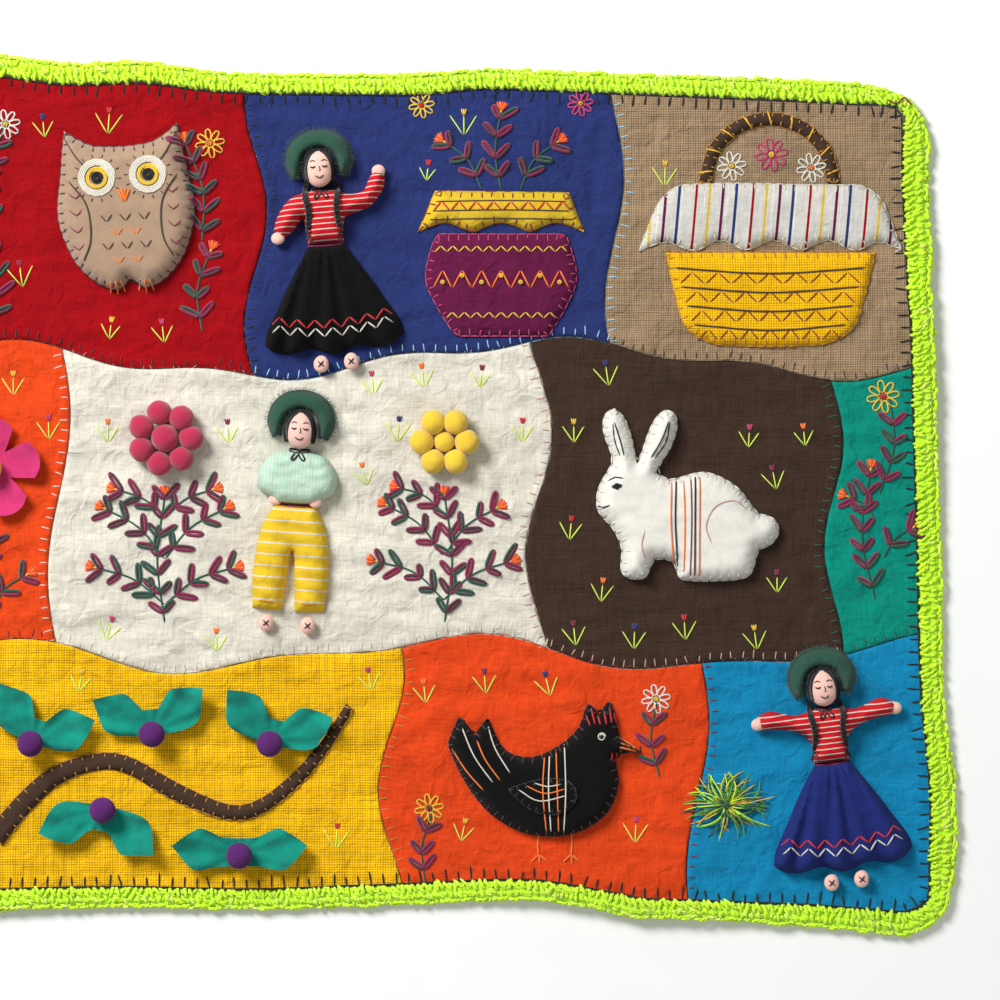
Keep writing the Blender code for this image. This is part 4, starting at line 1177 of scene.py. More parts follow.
def make_edging():
    """Crocheted band: a soft core whose darker lime is painted shade between the stitches, a slanted post and
    a knot for each stitch, and the chain outside.
    """
    sizes = bpy.context.scene.picture_sizes
    line, along, inward, width = edging_lines(3.0)
    # Outline of the core's section: share of the width, height.
    section = (
        (0.10, 1.2), (0.06, 2.6), (0.18, 3.9), (0.42, 4.6), (0.72, 4.2),
        (0.95, 2.9), (0.99, 1.4), (0.94, 0.0), (0.12, 0.0),
    )
    base = line - inward * (width * OVERHANG)[:, None]
    verts = []
    for share, height in section:
        flat = base + inward * (width * share)[:, None]
        verts.append(np.column_stack((flat, lift(line) + height)))
    count = len(line)
    faces = []
    for k in range(len(section)):
        j = (k + 1) % len(section)
        for i in range(count):
            n = (i + 1) % count
            faces.append((k * count + i, j * count + i, j * count + n, k * count + n))
    core = mesh_object("crochet_core", np.vstack(verts), faces)
    turned = bmesh.new()
    turned.from_mesh(core.data)
    bmesh.ops.recalc_face_normals(turned, faces=turned.faces[:])
    turned.to_mesh(core.data)
    turned.free()
    # The core's darker lime is painted shade where it shows between the stitches.
    dress(core, felted("Lime yarn core in painted shade", "lime_core_painted_shade", 700.0, 0.5, 0.06), ("crochet_edging",))

    rng = np.random.default_rng(SEED)
    line, along, inward, width = edging_lines(sizes.crochet_pitch / MM)
    heights = lift(line)
    base = line - inward * (width * OVERHANG)[:, None]
    yarn = sizes.yarn_radius / MM
    # Strokes of one stitch: place along the edge, share of the width, height.
    strokes = (
        ((-1.5, 1.06, 2.4), (-1.2, 0.95, 4.1), (-0.4, 0.80, 5.0), (0.5, 0.62, 5.1), (0.9, 0.52, 4.4)),
        ((1.5, 0.98, 3.2), (1.5, 0.86, 4.4), (1.0, 0.70, 4.6)),
        ((-0.9, 0.58, 4.3), (-0.6, 0.46, 5.1), (0.2, 0.32, 5.0), (0.8, 0.20, 4.2)),
        ((1.3, 0.50, 4.0), (1.5, 0.36, 4.6), (1.7, 0.24, 4.2)),
        ((-2.4, 0.17, 3.4), (-1.2, 0.09, 4.3), (0.3, 0.05, 4.4), (1.7, 0.09, 4.1), (2.4, 0.18, 3.2)),
        ((-2.3, 0.10, 2.0), (-0.8, 0.04, 2.6), (1.0, 0.04, 2.5), (2.3, 0.10, 1.8)),
    )
    strands = Threads(5)
    for i in range(len(line)):
        for number, rows in enumerate(strokes):
            jitter = rng.normal(0.0, 1.0, 6)
            path = []
            for k, (a, share, h) in enumerate(rows):
                lean = 0.7 * jitter[0] * (k - len(rows) / 2)
                reach = width[i] * (share + 0.045 * jitter[1])
                flat = base[i] + along[i] * (a + lean + 0.5 * jitter[2]) + inward[i] * reach
                path.append((*flat, heights[i] + h + 0.35 * jitter[3] * share))
            # Some strokes in pale lime are painted highlights.
            colour = "pale_lime_and_highlight" if number in (2, 4) and jitter[5] > 0.9 else "lime"
            strands.add(path, yarn * (1.0 + 0.1 * jitter[4]), colour, 0.6)
    yarn_cloth = threaded("Lime yarn", 2.6, 3.0, 0.3, 0.3)
    strands.build("crochet_stitches", cloth=yarn_cloth)


# Balls, animals, flowers and patches

FELT_THICK = 1.3         # loose leaves and petals
LEAF_REACH = 36.0        # about how far the leaves reach from their ball's middle
PETAL_REACH = 27.0       # the same for the petals
PRESSED = 0.94           # height of a sewn-down ball as a share of its width
BALL_SIZE = 13.5         # balls of the vine and of the big flowers
FLOWER_BALL = 13.0       # balls of the ball flowers


def shaped(name, size, middle, turns=()):
    """Turn, press and shift the sphere that was just added."""
    piece = bpy.context.active_object
    piece.name = name
    bpy.ops.object.mode_set(mode="EDIT")
    bpy.ops.mesh.select_all(action="SELECT")
    for axis, angle in turns:
        bpy.ops.transform.rotate(value=radians(angle), orient_axis=axis, center_override=(0.0, 0.0, 0.0))
    bpy.ops.transform.resize(value=size)
    bpy.ops.transform.translate(value=middle)
    bpy.ops.object.mode_set(mode="OBJECT")
    piece.data.shade_smooth()
    return piece


def roughen(piece, middle, lumps, grain):
    """Make a stuffed or felted form a little uneven."""
    for vert in piece.data.vertices:
        out = (vert.co - middle).normalized()
        vert.co += out * lumps * MM * noise.noise(vert.co / (grain * MM))


def ball(name, x, y, level, size, cloth, slot):
    """Felted ball, pressed a little and made uneven."""
    deselect_all()
    bpy.ops.mesh.primitive_ico_sphere_add(subdivisions=4, radius=size / 2 * MM)
    middle = Vector((x, y, level + size / 2 * PRESSED)) * MM
    piece = shaped(name, (1.0, 1.0, PRESSED), middle)
    roughen(piece, middle, 0.35, 4.0)
    dress(piece, cloth)
    return piece


def oval(name, node, cloth):
    """Stuffed oval head or foot in the place of its solid."""
    low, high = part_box(node)
    middle = (low + high) / 2
    deselect_all()
    bpy.ops.mesh.primitive_uv_sphere_add(segments=28, ring_count=18, radius=0.5)
    piece = shaped(name, high - low, middle)
    roughen(piece, middle, 0.25, 5.0)
    dress(piece, cloth, (node,))


def make_animals():
    """Stuffed felt rabbit, hen and owl."""
    stuffed("rabbit", felted("White felt", "white", dye_and_shade=0.05), 9.0)
    stuffed("hen", felted("Black felt", "black", sheen=0.04), 9.0)
    stuffed("hen_wing", felted("Black felt", "black", sheen=0.04), 2.4, crown=5.0, level=9.2)
    stuffed("owl", felted("Tan felt", "tan", dye_and_shade=0.06), 9.0)


def make_star():
    """Stuffed felt star."""
    stuffed("star", felted("Yellow felt", "yellow"), 7.0)


def make_big_flowers():
    """Loose felt petals with a ball in the middle."""
    for name in ("flower_1", "flower_2"):
        node = f"{name}_petals"
        outline = outline_of(node)
        points, faces = net_of(outline, 2.3)
        x, y, _ = middle_of(f"{name}_ball")
        offset = points - (x, y)
        away = np.linalg.norm(offset, axis=1) / PETAL_REACH
        angle = np.arctan2(offset[:, 1], offset[:, 0])
        curl = 4.5 * away ** 2 + 0.5 * np.cos(10.0 * angle) * away + 1.3 * wrinkles(points * 1.2) * away
        low = MOTIF_LEVEL + lift(points) + curl
        piece = closed_sheet(f"{node}_cut", points, faces, low, low + FELT_THICK)
        dress(piece, felted("Pink felt", "pink", 620.0, 0.9, 0.26, 0.12), (node,))
        low_corner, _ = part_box(f"{name}_ball")
        cloth = felted("Yellow felt", "yellow")
        middle = ball(f"{name}_middle", x, y, low_corner.z / MM, BALL_SIZE, cloth, "yellow_felt")
        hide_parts(f"{name}_ball")


def make_ball_flowers():
    """Felt balls sewn close together round a middle one."""
    for node, colour, count in (("ball_flower_pink", "pink", 7), ("ball_flower_yellow", "yellow", 6)):
        x, y, _ = middle_of(node)
        reach = FLOWER_BALL * 0.46 / sin(pi / count)
        cloth = felted(f"{colour} ball felt", "rose" if colour == "pink" else colour, 700.0, 0.5)
        level = level_at(x, y)
        middle = ball(f"{node}_middle", x, y, level, 2 * reach - FLOWER_BALL, cloth, f"{colour}_felt")
        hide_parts(node)
        for i in range(count):
            angle = tau * i / count
            place = (x + reach * cos(angle), y + reach * sin(angle))
            ball(f"{node}_{i + 1}", *place, level, FLOWER_BALL, cloth, f"{colour}_felt")


def make_vine():
    """Brown stem, loose felt leaves with a crease, and wound balls."""
    outline = outline_of("vine_stem")
    points, faces = net_of(outline, 2.5)
    bottom, top = stuffed_heights(points, outline, 1.6, 0.9, 3.0, pucker=0.2)
    stem = closed_sheet("vine_stem_sewn", points, faces, bottom, top)
    dress(stem, woven("Brown stem", "brown", 0.5, 0.2), ("vine_stem",))
    for number in range(1, 6):
        node = f"vine_leaves_{number}"
        outline = outline_of(node)
        points, faces = net_of(outline, 1.5)
        x, y, _ = middle_of(f"vine_ball_{number}")
        away, _ = nearest_on(outline, points)
        out = np.linalg.norm(points - (x, y), axis=1) / LEAF_REACH
        crease = 1.6 * np.exp(-((away - 9.0) / 3.0) ** 2)
        angle = np.arctan2(points[:, 1] - y, points[:, 0] - x)
        ruffle = 1.9 * np.sin(13.0 * angle + 2.1 * number) * np.exp(-away / 5.0)
        dimples = 1.7 * wrinkles(points * 1.3 + 40.0 * number)
        low = MOTIF_LEVEL + lift(points) + 2.0 + 5.5 * out ** 2 - crease * out
        low = low + np.clip(1.6 * out, 0.0, 1.0) * (ruffle + dimples)
        piece = closed_sheet(f"{node}_cut", points, faces, low, low + FELT_THICK)
        dress(piece, felted("Teal felt", "teal", 620.0, 0.9, 0.3, 0.12), (node,))
        low_corner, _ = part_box(f"vine_ball_{number}")
        wound_ball(f"vine_ball_{number}", x, y, low_corner.z / MM)


def wound_ball(node, x, y, level):
    """Ball covered in fine knit, with its ribs from pole to pole."""
    ribs = 36
    rib_depth = 0.028
    radius = BALL_SIZE / 2 * MM
    deselect_all()
    bpy.ops.mesh.primitive_uv_sphere_add(segments=4 * ribs, ring_count=22, radius=radius)
    for vert in bpy.context.active_object.data.vertices:
        angle = atan2(vert.co.y, vert.co.x)
        belt = hypot(vert.co.x, vert.co.y) / radius
        vert.co *= 1.0 + rib_depth * cos(ribs * angle) * belt
    # The poles lie nearly flat, turned another way on each ball.
    turns = (("X", 78.0), ("Z", 1.7 * x))
    middle = Vector((x, y, level + BALL_SIZE / 2 * PRESSED)) * MM
    piece = shaped(f"{node}_wound", (1.0, 1.0, PRESSED), middle, turns)
    dress(piece, felted("Purple yarn", "yarn_purple", 1100.0, 0.3, 0.2, 0.1), (node,))


def patch(node, cloth, rise, crown):
    """Lightly raised cloth patch sewn down round its edge."""
    outline = outline_of(node)
    points, faces = net_of(outline, 2.6)
    bottom, top = stuffed_heights(points, outline, rise, 1.0, crown, pucker=0.3)
    piece = closed_sheet(f"{node}_sewn", points, faces, bottom, top)
    dress(piece, cloth, (node,))


def make_basket():
    """Gold cloth basket with a striped cover and a handle."""
    x, y, _ = middle_of("basket")
    stripes = (
        ("X", 30.0, 1.5, 0.0, "purple"), ("X", 30.0, 1.3, 7.0, "mustard"), ("X", 30.0, 1.3, 14.0, "crimson"),
        ("X", 30.0, 1.5, 23.0, "blue"), ("X", 12.0, 0.4, 3.4, "white"),
    )
    patch("basket", woven("Basket cloth", "gold", 1.35, 0.4, 0.3), 2.6, 8.0)
    cover = woven("Striped cover", "cover", 0.5, 0.3, 0.1, stripes, (x, y, -5.0), 0.13, 1.4)
    patch("basket_cloth", cover, 3.2, 9.0)
    handle = woven("Handle cloth", "brown", 0.5, 0.2)
    patch("basket_handle", handle, 2.0, 3.0)


def make_pot():
    """Purple cloth pot with a mustard collar."""
    pot = woven("Pot cloth", "purple", 0.5, 0.12, dye_and_shade=0.16, rumple=2.6)
    patch("pot", pot, 2.8, 8.0)
    collar = woven("Collar cloth", "mustard", 0.5, 0.12, rumple=2.0)
    patch("pot_collar", collar, 3.2, 8.0)


def make_dolls():
    """Cloth dolls: hat, head, blouse, lower garment and feet."""
    skin = felted("Doll knit", "skin", 1500.0, 0.12, 0.06)
    for name, turn, blouse, lower, hands in DOLLS:
        x, y, _ = middle_of(f"{name}_head")
        oval(f"{name}_head_sewn", f"{name}_head", skin)
        hat = felted("Hat felt", "felt_green", 800.0, 0.4, 0.14, 0.12)

        def brim(points, x=x, y=y):
            offset = points - (x, y)
            out = np.linalg.norm(offset, axis=1)
            angle = np.arctan2(offset[:, 1], offset[:, 0])
            return 2.2 * np.exp(-((out - 12.5) / 2.6) ** 2) - 0.12 * out + 0.4 * np.sin(7.0 * angle)

        sewn_shell(f"{name}_hat", hat, 8.6, 5.0, 1.2, 1.6, 1.3, brim)
        stripes = (("Y", 2.9, 0.55, 0.0, "cream") if blouse == "red" else ("X", 1.9, 0.5, 0.0, "cream"),)
        cloth = woven(f"{name} blouse", blouse, 0.5, 0.12, 0.12, stripes, (x, y, turn))

        def creases(points, x=x, y=y, turn=turn):
            local = moved(points - (x, y), 0.0, 0.0, -turn)
            pull = np.hypot(np.abs(local[:, 0]) - 9.0, local[:, 1] + 12.0)
            return 0.55 * np.cos(tau * pull / 5.6) * np.exp(-((pull - 9.0) / 9.0) ** 2)

        sewn_shell(f"{name}_blouse", cloth, 10.0, 7.0, 1.5, 1.7, 0.9, creases)

        def fall(points, x=x, y=y, turn=turn, lower=lower):
            local = moved(points - (x, y), 0.0, 0.0, -turn)
            down = np.clip((-local[:, 1] - 38.0) / 58.0, 0.0, 1.0)
            if lower == "yellow":
                return -2.5 * down + 0.45 * np.cos(local[:, 1] * tau / 8.0 + 0.1 * local[:, 0])
            across = local[:, 0] / (9.0 + 28.0 * down)
            gather = 1.1 * np.cos(across * 20.0) * (1.0 - down) ** 0.6
            return down * (2.4 * np.cos(across * 4.4 * pi + 1.4 * down) - 1.6) + gather

        rows = (("Y", 6.0, 0.8, 0.0, "cream"),) if lower == "yellow" else ()
        cloth = woven(f"{name} lower", lower, 0.5, 0.12, 0.12, rows, (x, y, turn))
        sewn_shell(f"{name}_lower", cloth, 10.0, 8.0, 2.0, 1.7, 0.9, fall)
        for side in ("left", "right"):
            oval(f"{name}_foot_{side}_sewn", f"{name}_foot_{side}", skin)


# Stitches

def even_stations(line, pitch, closed=True):
    """Places and directions along a line, one for each stitch."""
    points = np.vstack((line, line[:1])) if closed else np.asarray(line, float)
    run = run_along(points)
    count = max(round(run[-1] / pitch), 2)
    wanted = np.linspace(0.0, run[-1], count + 1)
    if closed:
        wanted = wanted[:-1]
    ends = []
    for shift in (0.6, -0.6):
        near = (wanted + shift) % run[-1] if closed else wanted + shift
        ends.append(points_at(points, run, near))
    return points_at(points, run, wanted), unit(ends[0] - ends[1])


def blanket(threads, line, pitch, leg, colour, rng, radius, edge, closed=True, inward=1.0):
    """Blanket stitch: a leg into the cloth at each station and the thread along the edge between."""
    place, along = even_stations(line, pitch, closed)
    side = left_of(along) * inward
    count = len(place)
    for i in range(count):
        long = leg * (1.0 + 0.12 * rng.normal())
        lean = 0.12 * rng.normal()
        tip = place[i] + side[i] * long + along[i] * lean * long
        rim = place[i] - side[i] * edge
        flat = [tip, tip * 0.66 + rim * 0.34, tip * 0.33 + rim * 0.67, rim]
        path = Drape.path(flat, radius * 0.7)
        path[0, 2] -= 2.2 * radius
        threads.add(path, radius, colour)
        if not closed and i == count - 1:
            continue
        following = place[(i + 1) % count] - side[(i + 1) % count] * edge
        if np.linalg.norm(following - rim) > 2.2 * pitch:
            continue
        flat = [rim, rim * 0.66 + following * 0.34, rim * 0.33 + following * 0.67, following]
        threads.add(Drape.path(flat, radius * 0.7), radius, colour)


def make_field_stitches():
    """Blanket stitches along every seam between the fields."""
    sizes = bpy.context.scene.picture_sizes
    rng = np.random.default_rng(SEED + 1)
    pitch = sizes.stitch_pitch / MM
    leg = sizes.stitch_leg / MM
    threads = Threads(4)
    outline = outline_of(BACKING, 6.0)

    def sewn(line, inward):
        line = line[inside(outline, line)]
        colour_at = line[len(line) // 2]
        reach = np.abs(line[-1] - line[0])
        side = np.array((0.0, 4.0) if reach[0] > reach[1] else (4.0, 0.0))
        _, _, number = seams_near(np.array([colour_at + side * inward]))
        colour = FIELDS[int(number[0])][4]
        blanket(threads, line, pitch, leg, colour, rng, 0.33, 0.2, closed=False, inward=inward)

    crossings = []
    for row, seams in enumerate(UPRIGHT):
        top = ROW_REACH[row]
        low = ROW_REACH[row + 1]
        for values in seams:
            high = top if row == 0 else float(seam_y(row - 1, np.array([seam_x(values, top)]))[0])
            bottom = low if row == 2 else float(seam_y(row, np.array([seam_x(values, low)]))[0])
            y = np.arange(bottom + 1.5, high - 1.5, 1.5)
            crossings.append((row, float(seam_x(values, bottom)), float(seam_x(values, high))))
            sewn(np.column_stack((seam_x(values, y), y)), -1.0 if row != 1 else 1.0)
    for number in range(len(ACROSS)):
        cuts = sorted([-340.0, 340.0] + [c[1] for c in crossings if c[0] == number])
        for start, end in zip(cuts, cuts[1:]):
            x = np.arange(start + 1.0, end - 1.0, 1.5)
            sewn(np.column_stack((x, seam_y(number, x))), 1.0)
    threads.build("field_stitches")


def make_edge_stitches():
    """Black blanket stitches that hold the cloth to the crochet."""
    rng = np.random.default_rng(SEED + 2)
    threads = Threads(5)
    line = outline_of(BACKING, 3.0)
    blanket(threads, line, EDGE_PITCH, 7.0, "black", rng, 0.5, -0.2)
    threads.build("edge_stitches")


def make_outline_stitches():
    """Blanket stitches that hold each sewn-on shape."""
    rng = np.random.default_rng(SEED + 3)
    threads = Threads(4)
    for node, (colour, pitch, leg, radius) in AROUND.items():
        blanket(threads, outline_of(node, 1.2), pitch, leg, colour, rng, radius, 0.0)
    threads.build("outline_stitches")


def laid(threads, points, radius, colour, step=2.5):
    """Thread laid on the cloth along a smooth line, its ends drawn in."""
    flat = smooth_path(points, step) if len(points) > 2 else np.linspace(points[0], points[1], 5)
    path = Drape.path(flat, radius * 0.75)
    path[[0, -1], 2] -= 1.6 * radius
    threads.add(path, radius, colour)


def stitched(threads, rows, x, y, turn=0.0, step=2.5):
    """Rows of colour, radius and points laid as threads in a motif's own place."""
    for colour, radius, points in rows:
        laid(threads, moved(points, x, y, turn), radius, colour, step)


def looped_leaf(threads, x, y, turn, length, width, colours, radius=0.34):
    """Looped stitch in the shape of a leaf: each side of the loop has its own colour."""
    half = ((0.0, 0.0), (0.16, 0.4), (0.5, 0.52), (0.86, 0.4), (1.0, 0.0))
    for side, colour in zip((1.0, -1.0), colours):
        flat = smooth_path(np.array(half) * (length, side * width), 1.6)
        threads.add(Drape.path(moved(flat, x, y, turn), radius * 0.8), radius, colour, 0.8)


def knot(threads, x, y, size, colour):
    """Knotted stitch: a short turn of thread pulled into a bead."""
    angles = np.linspace(0.0, 1.6 * tau, 11)
    reach = size * 0.28
    flat = np.column_stack((x + reach * np.cos(angles), y + reach * np.sin(angles)))
    path = Drape.path(flat, size * 0.2)
    path[:, 2] += np.linspace(0.0, size * 0.3, len(path))
    threads.add(path, size * 0.24, colour)


def daisy(threads, x, y, reach, petals, middle):
    """Ring of looped stitches round a knot."""
    for i in range(8):
        turn = 45.0 * i + 11.0
        start = spot(reach * 0.22, 0.0, x, y, turn)
        looped_leaf(threads, *start, turn, reach * 0.76, reach * 0.34, (petals, petals), 0.46)
    knot(threads, x, y, reach * 0.36, middle)


def bud(threads, x, y, turn, colour):
    """Fan of short stitches at a stem's tip."""
    for k in range(5):
        ends = moved(((-0.4, 0.0), (5.6, 0.0)), x, y, turn + 17.0 * (k - 2))
        laid(threads, ends, 0.72, ("orange", colour)[k % 2])
    laid(threads, moved(((-1.6, 0.0), (0.8, 0.0)), x, y, turn), 0.6, "yellow")


def sprig(threads, x, y, turn, length, bend, rng):
    """Bent stem with pairs of looped leaves, and a bud where no daisy crowns it."""
    stem = moved(smooth_path(((0.0, 0.0), (length / 2, bend), (length, 0.0)), 2.0), x, y, turn)
    path = Drape.path(stem, 0.35)
    path[[0, -1], 2] -= 0.6
    threads.add(path, 0.5, "dark_green")
    crowned = any(hypot(stem[-1][0] - row[0], stem[-1][1] - row[1]) < row[2] + 4.0 for row in DAISIES)
    count = max(int(length / 9.0), 2)
    for i in range(count - crowned):
        at = round((i + 0.7) / count * (len(stem) - 1))
        heading = stem[min(at + 1, len(stem) - 1)] - stem[min(at, len(stem) - 2)]
        direction = degrees(atan2(heading[1], heading[0]))
        for side in (-1.0, 1.0):
            colours = rng.choice(("maroon", "maroon", "wine", "felt_green"), 2)
            lean = direction + side * (46.0 + 6.0 * rng.normal())
            looped_leaf(threads, *stem[at], lean, 9.8 + rng.normal(), 2.0, colours, 0.86)
    if not crowned:
        bud(threads, *stem[-1], direction, "bright_orange")


def small_flower(threads, x, y, colour, rng):
    """Stalk, two straight leaves and a bud."""
    lean = 6.0 * rng.normal()
    size = 1.0 + 0.1 * rng.normal()
    for tip in (-6.6, 0.0, 6.2):
        stroke = np.array(((0.0, -7.0), (tip, 3.0))) * size
        laid(threads, moved(stroke, x, y, lean), 0.36, "pale_lime_and_highlight")
    for shift in (-0.9, 0.0, 0.9):
        laid(threads, moved(((shift * 0.4, 3.0), (shift * 1.4, 6.6)), x, y, lean), 0.46, colour)


def open_places(spacing, rng):
    """Places on the fields that are clear of the seams, the outer edge and all that is sewn on."""
    edge = outline_of(BACKING, 8.0)
    points = even_points(edge, spacing, 0.0)
    points += rng.uniform(-4.0, 4.0, points.shape)
    keep = (nearest_on(edge, points)[0] > 14.0) & (seams_near(points)[0] > 11.0)
    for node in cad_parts:
        if node.startswith(("field_", "ground_", "crochet_")):
            continue
        ring = rim_loops(node)[0]
        clear = 16.0 if "ball" in node else 10.5
        keep &= (nearest_on(ring, points)[0] > clear) & ~inside(ring, points)
    taken = [(x, y, reach + 9.0) for x, y, reach, _, _ in DAISIES]
    for x, y, turn, length, _ in SPRIGS:
        taken += [(*place, 15.0) for place in moved(np.linspace((0.0, 0.0), (length, 0.0), 7), x, y, turn)]
    for x, y, clear in taken:
        keep &= np.linalg.norm(points - (x, y), axis=1) > clear
    return points[keep]


def make_embroidery():
    """Sprigs, small flowers and daisies sewn on the fields."""
    rng = np.random.default_rng(SEED + 4)
    sprigs = Threads(4)
    for x, y, turn, length, bend in SPRIGS:
        sprig(sprigs, x, y, turn, length, bend, rng)
    sprigs.build("embroidered_sprigs")
    flowers = Threads(4)
    for number, (x, y) in enumerate(open_places(31.0, rng)):
        small_flower(flowers, x, y, BUDS[number % len(BUDS)], rng)
    for x, y, reach, petals, middle in DAISIES:
        daisy(flowers, x, y, reach, petals, middle)
    flowers.build("embroidered_flowers")


def filled_round(threads, x, y, outer, inner, radius, colour):
    """Thread wound flat from the outer to the inner radius."""
    turns = max((outer - inner) / (1.7 * radius), 1.0)
    angles = np.arange(0.0, turns * tau, 0.42)
    reach = outer - (outer - inner) * angles / angles[-1]
    flat = np.column_stack((x + reach * np.cos(angles), y + reach * np.sin(angles)))
    threads.add(Drape.path(flat, radius * 0.7), radius, colour)


def make_animal_details():
    """Eyes, beaks, bands and feathers in thread."""
    rabbit = Threads(5)
    stitched(rabbit, RABBIT_LINES, *RABBIT_AT)
    for k in range(5):
        half = 3.5 - 0.6 * (k - 2) ** 2
        rise = 0.66 * (k - 2)
        laid(rabbit, moved(((-half, rise), (half, rise)), *RABBIT_EYE, 8.0), 0.42, "black")
    rabbit.build("rabbit_stitches")

    hen = Threads(5)
    stitched(hen, HEN_LINES, *HEN_AT)
    stitched(hen, WING_LINES, *HEN_AT)
    eye = spot(29.0, 48.6, *HEN_AT)
    filled_round(hen, *eye, 2.1, 1.2, 0.36, "cream")
    knot(hen, *eye, 1.8, "black")
    hen.build("hen_stitches")

    owl = Threads(5)
    stitched(owl, OWL_LINES, *OWL_AT, OWL_TURN)
    for side in (-1.0, 1.0):
        eye = spot(side * 13.5, 50.0, *OWL_AT, OWL_TURN)
        for outer, inner, colour in ((10.0, 6.4, "cream"), (5.8, 3.8, "yellow"), (3.2, 0.5, "black")):
            filled_round(owl, *eye, outer, inner, 0.5, colour)
        for k in range(14):
            turn = 360.0 * k / 14
            laid(owl, moved(((10.6, 0.0), (13.0, 0.0)), *eye, turn), 0.3, "brown")
        for k in range(4):
            y = 44.0 - 9.0 * k
            wing = moved(((side * 30.0, y), (side * 25.5, y - 4.0), (side * 22.0, y)), *OWL_AT, OWL_TURN)
            laid(owl, wing, 0.35, "maroon")
    for row in range(4):
        for k in range(3 - row % 2):
            x = (k - (2 - row % 2) / 2) * 10.0
            y = 28.0 - 7.4 * row
            for side in (-1.0, 1.0):
                ends = moved(((x + side * 3.2, y + 2.6), (x, y - 1.6)), *OWL_AT, OWL_TURN)
                laid(owl, ends, 0.36, ("brown", "bright_orange")[row % 2])
    owl.build("owl_stitches")

    star = Threads(5)
    for k in range(5):
        turn = 90.0 + 72.0 * k
        laid(star, moved(((5.0, 0.0), (28.0, 0.0)), *STAR_AT, turn + 36.0), 0.4, "bright_orange")
        laid(star, moved(((5.0, 0.0), (13.0, 0.0)), *STAR_AT, turn), 0.4, "dark_red")
        for swing in (45.0, 27.0):
            knot(star, *spot(17.0, 0.0, *STAR_AT, turn + swing), 2.0, "red")
    knot(star, *STAR_AT, 4.5, "dark_red")
    star.build("star_stitches")


def zigzag_stitches(threads, left, right, level, count, rise, radius, colour, at, bow=0.0):
    """Straight stitches one after another that swing about a level or bowed line."""
    share = np.linspace(-1.0, 1.0, count + 1)
    swing = np.where(np.arange(count + 1) % 2, rise, -rise)
    x = left + (right - left) * (share + 1.0) / 2
    rows = moved(np.column_stack((x, level + bow * share ** 2 + swing)), *at)
    for start, end in zip(rows, rows[1:]):
        laid(threads, (start, end), radius, colour)


def make_basket_details():
    """Couched weave lines on the basket, and rows and zigzags on the pot's collar."""
    basket = Threads(5)
    for y, half in ((-4.0, 51.0), (-14.0, 48.0), (-24.0, 45.0), (-34.0, 41.0)):
        laid(basket, moved(((-half, y), (0.0, y - 3.0), (half, y)), *BASKET_AT), 0.5, "brown", 3.0)
        reach = half - 3.0
        zigzag_stitches(basket, -reach, reach, y - 5.5, 14, 3.2, 0.35, "dark_red", BASKET_AT)
    for k in range(9):
        angle = pi * (k + 0.5) / 9
        place = (34.0 * cos(angle), 41.0 + 34.0 * sin(angle))
        ends = moved(((-4.4, -1.2), (4.4, 1.2)), place[0], place[1], degrees(angle))
        laid(basket, moved(ends, *BASKET_AT), 0.45, "gold")
    basket.build("basket_stitches")

    pot = Threads(5)
    for y, half in ((31.0, 36.0), (26.0, 38.0), (21.5, 40.0)):
        laid(pot, moved(((-half, y), (0.0, y + 0.6), (half, y)), *POT_AT), 0.35, "brown", 3.0)
    zigzag_stitches(pot, -36.0, 37.0, 28.6, 16, 2.6, 0.45, "red", POT_AT)
    zigzag_stitches(pot, -36.0, 36.0, -10.0, 14, 5.0, 0.45, "bright_orange", POT_AT)
    zigzag_stitches(pot, -35.0, 35.0, 6.0, 22, 1.6, 0.4, "yellow", POT_AT)
    zigzag_stitches(pot, -29.0, 29.0, -29.0, 18, 1.6, 0.4, "yellow", POT_AT)
    for k in range(7):
        knot(pot, *spot(-30.9 + 10.3 * k, -8.2 if k % 2 else -11.6, *POT_AT), 2.6, "yellow")
    pot.build("pot_stitches")


def plait(threads, points, width, radius, colour, turns):
    """Three strands plaited along a line that lies on the doll."""
    middle = Drape.path(smooth_path(points, 1.1), radius)
    side = left_of(unit(np.gradient(middle[:, :2], axis=0)))
    share = np.linspace(0.0, 1.0, len(middle))
    for k in range(3):
        phase = tau * (turns * share + k / 3.0)
        path = middle.copy()
        path[:, :2] += side * (width * np.sin(phase))[:, None]
        path[:, 2] += 0.9 * radius * (1.0 + np.sin(2.0 * phase))
        threads.add(path, radius, colour)


